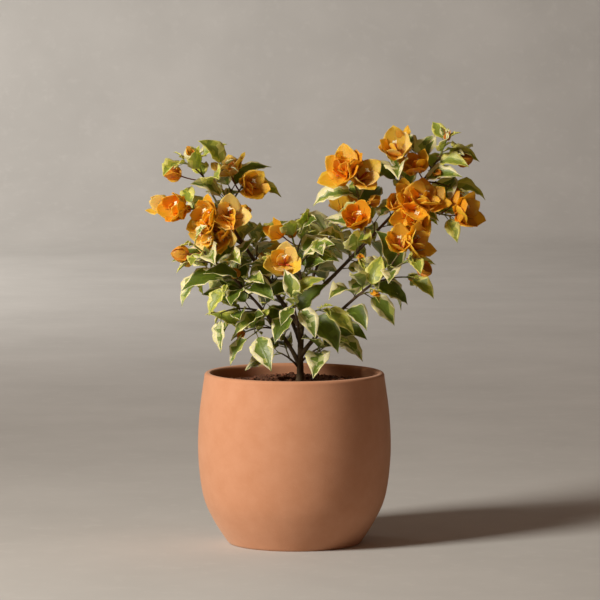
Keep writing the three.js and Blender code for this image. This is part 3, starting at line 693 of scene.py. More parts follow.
class Crown:
    """Everything that grows on the wood, and the room that it has taken."""

    def __init__(self, skeleton: Skeleton) -> None:
        """Starts with bare wood.

        Args:
            skeleton: the wood that carries the crown.
        """
        self.skeleton = skeleton
        self.habit = skeleton.habit
        self._wood = np.array(skeleton.wood)
        self._marks = np.full((1, 3), FAR_AWAY)
        self.growth: dict[str, list[Leaf | Twig | Bract | Bud]] = {}

    def grow(self) -> None:
        """Grows every mass: first all the blooms, then the leaves in the room that is left."""
        chances = {mass.name: Chance(mass.seed) for mass in MASSES}
        for mass in MASSES:
            paths = self.skeleton.shoots[mass.name]
            things = self.growth[mass.name] = []
            for bloom in mass.blooms:
                things += self._bloom(paths[bloom.on], bloom, chances[mass.name])
        for mass in MASSES:
            for path, shoot in zip(self.skeleton.shoots[mass.name], mass.shoots):
                self.growth[mass.name] += self._leaves_along(path, shoot.phase, chances[mass.name])

    def _has_room(self, midrib: Midrib) -> bool:
        """Whether a blade keeps clear of the planter, the wood and the blades grown so far.

        Args:
            midrib: of the blade.

        Returns:
            True where it fits.
        """
        h = self.habit
        for mark in midrib.marks:
            over_rim = math.hypot(mark[0], mark[1]) > h.rim_start
            if mark[2] < h.soil_top + (h.over_rim if over_rim else h.over_soil):
                return False
            if np.min(np.sum((self._wood - mark) ** 2, axis=1)) < h.wood_room**2:
                return False
            if np.min(np.sum((self._marks - mark) ** 2, axis=1)) <= h.room**2:
                return False
        return True

    def _take(self, midrib: Midrib) -> Midrib:
        """Keeps the room that a blade fills."""
        self._marks = np.vstack([self._marks, midrib.marks])
        return midrib

    def _leaf(self, path: Path, t: float, turn: float, size: float, chance: Chance, tip: float) -> list[Leaf]:
        """A leaf at a place on a path, turned until it has room.

        Args:
            path: what carries the leaf.
            t: share of the path's length.
            turn: angle round the path.
            size: 1 is full grown.
            chance: the mass's random numbers.
            tip: how near its shoot's tip the leaf is.

        Returns:
            The leaf, or nothing where there is no room.
        """
        h = self.habit
        stem, side = path.heading_at(t), path.side_at(t)
        over = cross(stem, side)
        for i in range(h.tries):
            turned = turn + chance.between(-h.turn_spread, h.turn_spread) * (1 + 2 * i)
            angle = h.leaf_angle + chance.between(-h.angle_spread, h.angle_spread)
            along = unit(around(stem, around(side, over, turned), angle) + UP * h.leaf_lift)
            face = square_to(UP + stem * h.face_lift, along)
            face = around(face, cross(along, face), chance.between(-h.leaf_roll, h.leaf_roll))
            sag = chance.between(*h.leaf_sag) * min(1, size)
            climb = math.degrees(math.asin(along[2]))
            bend = max(h.straightest, min(sag, climb + h.steepest))
            midrib = Midrib(path.point_at(t), along, face, h.petiole + h.leaf_length * size, bend)
            if self._has_room(midrib):
                self._take(midrib)
                return [Leaf(midrib.turn_to(path.light, h.light_share, h.light_limit), size, tip)]
        return []

    def _spur(self, path: Path, t: float, turn: float, size: float, chance: Chance) -> list[Leaf | Twig]:
        """A short twig with up to three leaves, with the arguments of a leaf.

        Args:
            path: what carries the twig.
            t: share of the path's length.
            turn: angle round the path.
            size: of the first leaf.
            chance: the mass's random numbers.

        Returns:
            The twig and its leaves, or nothing where no leaf has room.
        """
        h = self.habit
        stem, side = path.heading_at(t), path.side_at(t)
        along = unit(stem + around(side, cross(stem, side), turn) + UP * h.leaf_lift)
        bearing = math.degrees(math.atan2(along[1], along[0]))
        climb = math.degrees(math.asin(along[2]))
        length = chance.between(*h.spur_length)
        angles = ((bearing, bearing), (climb, climb))
        spur = Path(path.point_at(t), length, *angles, h.spur_radius, light=path.light)
        first, step = h.spur_leaves
        leaves: list[Leaf | Twig] = []
        for k in range(h.spur_count):
            place, leaf_turn = first + step * k, turn + k * h.golden_angle
            leaves += self._leaf(spur, place, leaf_turn, size * (1 - h.spur_shrink * k), chance, t)
        return [Twig(spur), *leaves] if leaves else []

    def _leaves_along(self, path: Path, phase: float, chance: Chance) -> list[Leaf | Twig]:
        """Every leaf of a shoot, by turns of the golden angle.

        Args:
            path: the shoot.
            phase: angle that the turns start from.
            chance: the mass's random numbers.

        Returns:
            The leaves, and the short twigs that carry some of them.
        """
        h = self.habit
        grown: list[Leaf | Twig] = []
        count = int(path.length // h.leaf_step)
        for i in range(1, count + 1):
            t = min(1, (i - 1 + h.first_leaf + chance.between(-h.leaf_shift, h.leaf_shift)) / count)
            turn = phase + i * h.golden_angle
            size = min(h.largest[1], h.largest[0] - h.young * t**3) * chance.between(*h.leaf_sizes)
            if chance.next() < h.spur_share and t < h.spur_end:
                grown += self._spur(path, t, turn, size, chance)
            else:
                grown += self._leaf(path, t, turn, size, chance, t)
        return grown

    def _bloom(self, path: Path, bloom: Bloom, chance: Chance) -> list[Twig | Bract | Bud]:
        """A stalk with three bracts round its end, or with a closed bud.

        Args:
            path: the shoot that carries the stalk.
            bloom: where and how the bloom stands.
            chance: the mass's random numbers.

        Returns:
            The stalk, and its bracts or bud.
        """
        h = self.habit
        bent = (bloom.climb - h.stalk_bend, bloom.climb + h.stalk_bend)
        bearings = (bloom.bearing, bloom.bearing)
        stalk = Path(path.point_at(bloom.at), bloom.reach, bearings, bent, h.stalk_radius)
        axis, side = stalk.heading_at(1), stalk.side_at(1)
        over = cross(axis, side)
        foot = stalk.point_at(1) - axis * h.bract_sunk
        turn = chance.between(0, THIRD)
        grown: list[Twig | Bract | Bud] = [Twig(stalk, is_stalk=True)]
        if bloom.open < h.bud_open:
            return [*grown, Bud(foot, axis, side, bloom.size)]
        for k in range(BRACTS):
            turned = turn + k * THIRD + chance.between(-h.bract_turn, h.bract_turn)
            spread = mix(*h.bract_spread, bloom.open) + chance.between(-h.bract_tilt, h.bract_tilt)
            along = around(axis, around(side, over, turned), spread)
            length = bloom.size * chance.between(*h.bract_sizes)
            midrib = Midrib.facing(foot, along, axis, length, mix(*h.bract_bend, bloom.open))
            grown.append(Bract(self._take(midrib), axis, bloom.open))
        return grown


# ---------------------------------------------------------------- finishes


def linear(colour: str) -> tuple[float, float, float, float]:
    """A colour written as #rrggbb, in linear light."""
    parts = (int(colour[i : i + 2], 16) / 255 for i in (1, 3, 5))
    return (*(p / 12.92 if p <= 0.04045 else ((p + 0.055) / 1.055) ** 2.4 for p in parts), 1.0)


class Tree:
    """Short ways to add and join the nodes of a material or a group."""

    def __init__(self, tree: bpy.types.NodeTree) -> None:
        """Works on a node tree."""
        self.tree = tree

    def add(self, kind: str, inputs: dict | None = None, **settings: object) -> bpy.types.Node:
        """Adds a node.

        Args:
            kind: the node's type, without its ShaderNode prefix.
            inputs: for each input's name or number, its value or the socket that feeds it.
            **settings: the node's own properties.

        Returns:
            The new node.
        """
        node = self.tree.nodes.new(kind if kind.startswith("Node") else "ShaderNode" + kind)
        for name, value in settings.items():
            setattr(node, name, value)
        self.fill(node, inputs or {})
        return node

    def fill(self, node: bpy.types.Node, inputs: dict) -> None:
        """Fills the inputs of a node.

        Args:
            node: whose inputs they are.
            inputs: for each input's name or number, its value or the socket that feeds it.
        """
        for name, value in inputs.items():
            if isinstance(value, Socket):
                self.tree.links.new(value, node.inputs[name])
            else:
                node.inputs[name].default_value = value

    def math(self, operation: str, *values: object) -> Socket:
        """Result of a Math node."""
        return self.add("Math", dict(enumerate(values)), operation=operation).outputs[0]

    def ramp(self, value: Socket, source: Pair, target: Pair = (0.0, 1.0)) -> Socket:
        """A value stretched so that the ends of a source range become those of a target range."""
        names = ("Value", "From Min", "From Max", "To Min", "To Max")
        return self.add("MapRange", dict(zip(names, (value, *source, *target)))).outputs[0]

    def blend(self, share: object, first: object, second: object) -> Socket:
        """Two colours mixed by a share."""
        node = self.add("Mix", {0: share, 6: first, 7: second}, data_type="RGBA")
        return node.outputs[2]


def new_group(name: str, inputs: dict[str, float], outputs: Sequence[str]) -> tuple[Tree, bpy.types.Node]:
    """Starts a node group with value sockets.

    Args:
        name: of the group.
        inputs: each input's name and default value.
        outputs: the outputs' names.

    Returns:
        The group's tree and its input node.
    """
    tree = bpy.data.node_groups.new(name, "ShaderNodeTree")
    for socket, value in inputs.items():
        made = tree.interface.new_socket(name=socket, in_out="INPUT", socket_type="NodeSocketFloat")
        made.default_value = value
    for socket in outputs:
        tree.interface.new_socket(name=socket, in_out="OUTPUT", socket_type="NodeSocketFloat")
    return Tree(tree), tree.nodes.new("NodeGroupInput")


class Effects:
    """The shader node groups that several finishes share."""

    PATCH_SCALE = 0.1
    PATCH_RANGE = (0.3, 0.7)
    MIDRIB_RANGE = (0.0, 0.05)
    VEIN_RANGE = (0.0, 0.14)
    VEIN_RISE = (0.6, 0.0)

    def __init__(self) -> None:
        """Builds each group once."""
        self.grain = self._grain()
        self.veins = self._veins()

    def _grain(self) -> bpy.types.NodeTree:
        """Fine relief, and soft patches ten times as large, in the piece's own space.

        Returns:
            The group, which gives both as values.
        """
        sockets = {"Scale": 900.0, "Roughness": 0.6}
        tree, given = new_group("grain and patches", sockets, ("Relief", "Patches"))
        place = tree.add("TexCoord").outputs["Object"]
        scale, rough = given.outputs["Scale"], given.outputs["Roughness"]
        fine = {"Vector": place, "Scale": scale, "Detail": 5.0, "Roughness": rough}
        broad = dict(fine, Scale=tree.math("MULTIPLY", scale, self.PATCH_SCALE), Detail=3.0)
        relief = tree.add("TexNoise", fine).outputs[0]
        patches = tree.ramp(tree.add("TexNoise", broad).outputs[0], self.PATCH_RANGE)
        tree.add("NodeGroupOutput", {"Relief": relief, "Patches": patches})
        return tree.tree

    def _veins(self) -> bpy.types.NodeTree:
        """Raised midrib and side veins of a blade, on its own UV map.

        Returns:
            The group, which gives their height.
        """
        tree, given = new_group("veins", {"Pairs": 6.0, "Slant": 0.5}, ("Height",))
        place = tree.add("SeparateXYZ", {0: tree.add("TexCoord").outputs["UV"]})
        off_middle = tree.math("ABSOLUTE", tree.math("SUBTRACT", place.outputs[0], 0.5))
        midrib = tree.ramp(off_middle, self.MIDRIB_RANGE, (1.0, 0.0))
        lag = tree.math("MULTIPLY", off_middle, given.outputs["Slant"])
        climb = tree.math("SUBTRACT", place.outputs[1], lag)
        phase = tree.math("FRACT", tree.math("MULTIPLY", climb, given.outputs["Pairs"]))
        off_vein = tree.math("ABSOLUTE", tree.math("SUBTRACT", phase, 0.5))
        side = tree.ramp(off_vein, self.VEIN_RANGE, self.VEIN_RISE)
        tree.add("NodeGroupOutput", {"Height": tree.math("MAXIMUM", midrib, side)})
        return tree.tree


@dataclass(frozen=True)
class Finish:
    """A surface of one plain colour, with relief and uneven gloss.

    Fields: colour, roughness and how far it varies, grain size as a noise scale, relief in metres, veins
    as pairs on a blade and how they slant, how much light glows through, how far red, green and blue of
    it get, as shares of a depth in metres, and how strongly veins and relief show.
    """

    name: str
    colour: str
    roughness: float = 0.5
    uneven: float = 0.12
    grain: float = 1500.0
    relief: float = 0.0002
    pairs: float = 0.0
    slant: float = 0.5
    glow: float = 0.0
    glow_reach: Triple = (0.9, 1.0, 0.22)
    glow_depth: float = 0.003
    vein_share: float = 1.4
    bump: float = 0.7

    def material(self, effects: Effects) -> bpy.types.Material:
        """The finish as a material.

        Args:
            effects: the shared node groups.

        Returns:
            The material.
        """
        material = bpy.data.materials.new(self.name)
        material.use_nodes = True
        tree = Tree(material.node_tree)
        grain = tree.add("Group", node_tree=effects.grain)
        tree.fill(grain, {"Scale": self.grain})
        height = grain.outputs["Relief"]
        if self.pairs:
            veins = tree.add("Group", node_tree=effects.veins)
            tree.fill(veins, {"Pairs": self.pairs, "Slant": self.slant})
            height = tree.math("MULTIPLY_ADD", veins.outputs["Height"], self.vein_share, height)
        bump = tree.add("Bump", {"Height": height, "Distance": self.relief, "Strength": self.bump})
        low, high = self.roughness - self.uneven / 2, self.roughness + self.uneven / 2
        gloss = tree.ramp(grain.outputs["Patches"], (0.0, 1.0), (low, high))
        surface = {
            "Base Color": linear(self.colour),
            "Subsurface Weight": self.glow,
            "Subsurface Radius": self.glow_reach,
            "Subsurface Scale": self.glow_depth,
            "Normal": bump.outputs["Normal"],
            "Roughness": gloss,
        }
        tree.fill(material.node_tree.nodes["Principled BSDF"], surface)
        return material


@dataclass(frozen=True)
class LeafFinish(Finish):
    """A leaf's surface: veined, and a little light glows through it."""

    pairs: float = 6.0
    glow: float = 0.5


@dataclass(frozen=True)
class UndersideFinish(LeafFinish):
    """The dull underside of a leaf."""

    roughness: float = 0.66
    relief: float = 0.0003


@dataclass(frozen=True)
class BractFinish(Finish):
    """A papery surface with steep veins that lets much light through."""

    roughness: float = 0.55
    relief: float = 0.0003
    pairs: float = 8.0
    slant: float = 0.9
    glow: float = 0.6
    glow_reach: Triple = (1.0, 0.6, 0.12)


@dataclass(frozen=True)
class MottledFinish(Finish):
    """A surface whose colour drifts to a second one in patches and a third one in fine specks.

    Fields: the two colours, how much of the specks shows, where in the grain they lie, and how much dust
    lies on the surface, how rough it is and its colour.
    """

    patch: str = "#808080"
    speck: str = "#808080"
    speck_share: float = 0.3
    speck_range: Pair = (0.55, 0.7)
    dust: float = 0.0
    dust_roughness: float = 0.6
    dust_colour: str = "#f2e2cc"

    def material(self, effects: Effects) -> bpy.types.Material:
        """The finish as a material.

        Args:
            effects: the shared node groups.

        Returns:
            The material.
        """
        material = super().material(effects)
        tree = Tree(material.node_tree)
        grain = next(node for node in material.node_tree.nodes if node.type == "GROUP")
        colour = tree.blend(grain.outputs["Patches"], linear(self.colour), linear(self.patch))
        specks = tree.ramp(grain.outputs["Relief"], self.speck_range, (0.0, self.speck_share))
        colour = tree.blend(specks, colour, linear(self.speck))
        surface = {
            "Base Color": colour,
            "Sheen Weight": self.dust,
            "Sheen Roughness": self.dust_roughness,
            "Sheen Tint": linear(self.dust_colour),
        }
        tree.fill(material.node_tree.nodes["Principled BSDF"], surface)
        return material


class LeafTint(Enum):
    """The plain colours of leaves: the upper faces', then in the same order the paler undersides'."""

    PALE_CREAM = LeafFinish("pale cream leaf", "#e4dea6", 0.5)
    LIME_CREAM = LeafFinish("lime cream leaf", "#d3d070", 0.5)
    GREY_GREEN = LeafFinish("grey green leaf", "#a6ad74", 0.48)
    LIME_GREEN = LeafFinish("lime green leaf", "#aab045", 0.46)
    OLIVE = LeafFinish("olive leaf", "#9ba34c", 0.46)
    MIDDLE = LeafFinish("middle green leaf", "#828f36", 0.44)
    DARK = LeafFinish("dark green leaf", "#64782a", 0.42)
    DEEP = LeafFinish("deep green leaf", "#4e6019", 0.42)
    PALE_CREAM_BACK = UndersideFinish("pale cream underside", "#dcd8a4")
    LIME_CREAM_BACK = UndersideFinish("lime cream underside", "#cbcb80")
    GREY_GREEN_BACK = UndersideFinish("grey green underside", "#abb381")
    LIME_GREEN_BACK = UndersideFinish("lime green underside", "#aab461")
    OLIVE_BACK = UndersideFinish("olive underside", "#9ba563")
    MIDDLE_BACK = UndersideFinish("middle green underside", "#8b9856")
    DARK_BACK = UndersideFinish("dark green underside", "#7e8d4c")
    DEEP_BACK = UndersideFinish("deep green underside", "#728143")


class BractTint(Enum):
    """The plain colours of bracts, from pale to deep; the last one is for midribs."""

    PEACH = BractFinish("peach bract", "#f8c268")
    GOLD = BractFinish("golden bract", "#f9b83a")
    ORANGE = BractFinish("orange bract", "#f6a822")
    AMBER = BractFinish("amber bract", "#f09416")
    RUST = BractFinish("rust bract", "#d87c20")
    RIB = BractFinish("bract midrib", "#8a3210")


class FlowerTint(Enum):
    """The plain colours of the small true flowers."""

    TUBE = Finish("flower tube", "#c4603a", 0.5, glow=0.1)
    LIP = Finish("flower lip", "#f3e7c2", 0.5, glow=0.1)
    THROAT = Finish("flower throat", "#d9b24c", 0.55, glow=0.1)


class WoodTint(Enum):
    """The plain colours of twigs and stalks."""

    BROWN = Finish("brown twig", "#55402a", 0.7, relief=0.0005, grain=1100)
    OLIVE = Finish("olive twig", "#68602f", 0.62, relief=0.0004, grain=1100)
    GREEN = Finish("green shoot", "#7f8a3c", 0.55, grain=1300)
    RED = Finish("flower stalk", "#7b3f22", 0.6, grain=1300)


TERRACOTTA = MottledFinish(
    "terracotta", "#ca8f6b", 0.86, grain=420, relief=0.0003, patch="#c48863", speck="#d39f7d",
    speck_share=0.2, dust=0.25,
)
SOIL = MottledFinish(
    "potting soil", "#694028", 0.95, grain=520, relief=0.002, patch="#44281a", speck="#946240",
    speck_share=0.6,
)
CRUMB = MottledFinish(
    "soil crumbs", "#7b482d", 0.95, grain=700, relief=0.0012, patch="#4c2b1c", speck="#a66c46",
    speck_share=0.6,
)
BARK = MottledFinish(
    "bark", "#4e3a24", 0.8, grain=620, relief=0.0009, patch="#5f4e2f", speck="#332418", speck_share=0.7,
)
STUDIO_PLASTER = MottledFinish(
    "studio plaster", "#c9cac8", 0.9, grain=30, relief=0.0001, patch="#bfc0be", speck="#d1d2d0",
    speck_share=0.3,
)


class Palette:
    """The materials, each made once."""

    def __init__(self) -> None:
        """Builds the shader groups that the materials share."""
        self._effects = Effects()
        self._made: dict[str, bpy.types.Material] = {}

    def of(self, *finishes: Finish) -> list[bpy.types.Material]:
        """A material for each finish, in order.

        Args:
            *finishes: what the materials show.

        Returns:
            The materials.
        """
        for finish in finishes:
            if finish.name not in self._made:
                self._made[finish.name] = finish.material(self._effects)
        return [self._made[finish.name] for finish in finishes]

    def tints(self, kind: type[Enum]) -> list[bpy.types.Material]:
        """A material for each tint of a kind, in order."""
        return self.of(*(tint.value for tint in kind))


# ---------------------------------------------------------------- shapes


def slot_of(tint: Enum) -> int:
    """The material slot of a tint."""
    return list(type(tint)).index(tint)


@dataclass
class Piece:
    """A mesh in the making, in millimetres, that becomes one named object."""

    name: str
    materials: Sequence[bpy.types.Material]
    slot: str
    stands_for: str
    thickness: float = 0.0
    back_slot: int = 0
    mesh: bmesh.types.BMesh = field(default_factory=bmesh.new)

    def __post_init__(self) -> None:
        """Gives the mesh its UV map."""
        self.mesh.loops.layers.uv.verify()

    def finish(self) -> bpy.types.Object:
        """Closes seams and poles, scales to metres and hands the object over to the frame.

        Returns:
            The object.
        """
        bmesh.ops.remove_doubles(self.mesh, verts=self.mesh.verts, dist=WELD)
        bmesh.ops.dissolve_degenerate(self.mesh, edges=self.mesh.edges, dist=WELD)
        bmesh.ops.scale(self.mesh, vec=(MM, MM, MM), verts=self.mesh.verts)
        data = bpy.data.meshes.new(self.name)
        self.mesh.to_mesh(data)
        self.mesh.free()
        data.shade_smooth()
        for material in self.materials:
            data.materials.append(material)
        thing = bpy.data.objects.new(self.name, data)
        bpy.context.scene.collection.objects.link(thing)
        if self.thickness:
            solid = thing.modifiers.new("thickness", "SOLIDIFY")
            solid.thickness = self.thickness * MM
            solid.offset = -1
            solid.material_offset = self.back_slot
        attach(thing, BODY)
        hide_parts(self.stands_for)
        log.info("%s: %d faces", self.name, len(data.polygons))
        return thing

    def grid(self, columns: int, rows: int) -> list[tuple[bmesh.types.BMVert, int, int]]:
        """A flat grid to be laid on a shape.

        Args:
            columns: faces across.
            rows: faces along.

        Returns:
            Each vertex with its column and row.
        """
        made = bmesh.ops.create_grid(self.mesh, x_segments=columns, y_segments=rows, size=0.5, calc_uvs=True)
        return [(v, round((v.co.x + 0.5) * columns), round((v.co.y + 0.5) * rows)) for v in made["verts"]]

    def paint(self, places: list, slot_at: Callable[[int, int], int], columns: int, rows: int) -> None:
        """Gives each face of a grid that is still flat its material slot, by column and row.

        Args:
            places: the grid, as made.
            slot_at: the slot at a column and a row.
            columns: faces across.
            rows: faces along.
        """
        faces = {face for vert, _, _ in places for face in vert.link_faces}
        for face in faces:
            middle = face.calc_center_median()
            column = min(columns - 1, int((middle.x + 0.5) * columns))
            face.material_index = slot_at(column, min(rows - 1, int((middle.y + 0.5) * rows)))

    def add_limb(
        self,
        rail: Rail,
        radius_at: Callable[[float, float], float],
        sides: int,
        steps: int,
        slot_at: Callable[[float], int] = lambda t: 0,
        start: float = 0.0,
    ) -> None:
        """Adds a closed limb: a grid rolled up round a line, with a pole at each end.

        Args:
            rail: the line.
            radius_at: radius at a share of the length and an angle.
            sides: faces round the limb.
            steps: faces along it.
            slot_at: material slot at a share of the length.
            start: share where the limb starts, below 0 to sink its root.
        """
        rows = steps + 2
        places = self.grid(sides, rows)
        shares = [mix(start, 1, min(steps, max(0, row - 1)) / steps) for row in range(rows + 1)]
        self.paint(places, lambda _, row: slot_at(shares[row]), sides, rows)
        stations = [rail(t) for t in shares]
        for vert, column, row in places:
            point, side, over = stations[row]
            angle = 360 * (column % sides) / sides
            radius = 0 if row in (0, rows) else radius_at(shares[row], angle)
            vert.co = Vector(point + around(side, over, angle) * radius)


@dataclass(frozen=True)
class Blade:
    """Outline and relief of a leaf or bract, as shares of its length or half width.

    Fields: rows of faces, half width, how round the base and how sharp the tip is, how far its sides
    fold and cup upwards, the ripples of its margins, how far fold and ripples stray from that, and how
    evenly the rows stand.
    """

    rows: int
    half_width: float
    base: float
    tip: float
    fold: float
    cup: float
    ripples: float
    ripple_height: float
    fold_stray: Pair = (0.5, 1.3)
    ripple_stray: Pair = (0.8, 1.2)
    evenness: float = 0.55

    def share_at(self, row: int) -> float:
        """Share of the length at a row: rows stand closer near both ends."""
        even = row / self.rows
        return mix((1 - math.cos(math.pi * even)) / 2, even, self.evenness)

    def half_at(self, t: float) -> float:
        """Half width at share t of the length.

        Args:
            t: share of the length.

        Returns:
            The half width as a share of the length.
        """
        peak = self.base / (self.base + self.tip)
        top = peak**self.base * (1 - peak) ** self.tip
        return self.half_width * t**self.base * (1 - t) ** self.tip / top

    def add(
        self,
        piece: Piece,
        midrib: Midrib,
        start: float,
        across: Sequence[Sequence[float]],
        slots: Sequence[Sequence[int]],
        chance: Chance,
    ) -> None:
        """Adds the blade to a piece.

        Args:
            piece: what the blade becomes part of.
            midrib: the line that it lies on.
            start: where the blade begins on it.
            across: for each row, where its vertices stand, from -1 at one margin to 1 at the other.
            slots: for each row of faces, their material slots.
            chance: random numbers for its ripples and fold.
        """
        columns = len(slots[0])
        places = piece.grid(columns, self.rows)
        piece.paint(places, lambda column, row: slots[row][column], columns, self.rows)
        length = midrib.length - start
        fold = math.radians(self.fold * chance.between(*self.fold_stray))
        phases = (chance.between(0, 360), chance.between(0, 360))
        waves = self.ripples * chance.between(*self.ripple_stray)
        for vert, column, row in places:
            t = self.share_at(row)
            point, along, face = midrib.at(start + t * length)
            x = across[row][column]
            half = self.half_at(t) * length
            phase = phases[0] if x < 0 else phases[1]
            ripple = self.ripple_height * x * x * math.sin(math.radians(phase + 360 * waves * t))
            rise = abs(x) * math.sin(fold) + self.cup * x * x + ripple
            vert.co = Vector(point + cross(along, face) * (x * half * math.cos(fold)) + face * (rise * half))


@dataclass(frozen=True)
class Variegation:
    """How a leaf is marked: three tints from the margin in, and the shares of the half width they reach.

    Fields: the tints, how far out the inner two reach, the odds of a stray patch, how ragged the tints'
    edges are, and the least and the most that each of the inner two may reach.
    """

    margin: LeafTint
    patch: LeafTint
    core: LeafTint
    core_share: Pair
    patch_share: Pair
    stray: float = 0.16
    ragged: float = 0.28
    core_limits: Pair = (0.05, 0.9)
    patch_limits: Pair = (0.03, 0.96)

    def across(self, rows: int, chance: Chance) -> list[list[float]]:
        """Where the vertices of each row stand: margins, the edges of the two inner tints, and the midrib.

        Args:
            rows: of faces.
            chance: the mass's random numbers.

        Returns:
            For each row of vertices, their places.
        """
        sides = []
        for _ in range(2):
            core, patch = chance.between(*self.core_share), chance.between(*self.patch_share)
            edges = []
            for _ in range(rows + 1):
                least, most = self.core_limits
                near = min(most, max(least, core + chance.between(-self.ragged, self.ragged)))
                least, most = self.patch_limits
                far = min(most, max(near + least, patch + chance.between(-self.ragged, self.ragged)))
                edges.append((near, far))
            sides.append(edges)
        return [[-1, -far, -near, 0, near2, far2, 1] for (near, far), (near2, far2) in zip(*sides)]

    def slots(self, rows: int, chance: Chance) -> list[list[int]]:
        """The material slots of each row of faces, with stray patches.

        Args:
            rows: of faces.
            chance: the mass's random numbers.

        Returns:
            For each row of faces, their slots.
        """
        plain = [self.margin, self.patch, self.core, self.core, self.patch, self.margin]
        table = []
        for _ in range(rows):
            row = list(plain)
            for column in range(1, len(plain) - 1):
                if chance.next() < self.stray:
                    outer = self.margin if chance.next() < 0.5 else self.core
                    row[column] = self.patch if plain[column] is self.core else outer
            table.append([slot_of(tint) for tint in row])
        return table


class LeafAge(Enum):
    """Markings of leaves from the shoots' tips down to the foot of the plant."""

    YOUNG = Variegation(LeafTint.LIME_CREAM, LeafTint.LIME_GREEN, LeafTint.MIDDLE, (0.2, 0.6), (0.5, 0.8))
    PALE = Variegation(
        LeafTint.PALE_CREAM, LeafTint.GREY_GREEN, LeafTint.DARK, (0.05, 0.45), (0.26, 0.62), stray=0.26
    )
    GROWN = Variegation(LeafTint.PALE_CREAM, LeafTint.OLIVE, LeafTint.DARK, (0.22, 0.58), (0.42, 0.74), 0.2)
    OLD = Variegation(LeafTint.PALE_CREAM, LeafTint.DARK, LeafTint.DEEP, (0.48, 0.8), (0.7, 0.9), 0.08, 0.17)


# ---------------------------------------------------------------- foliage


@dataclass(frozen=True)
class Ring:
    """Smaller bracts inside a bloom: their turn, how steep and how large they are, and their odds."""

    turn: float
    steepness: Pair
    size: Pair
    odds: float


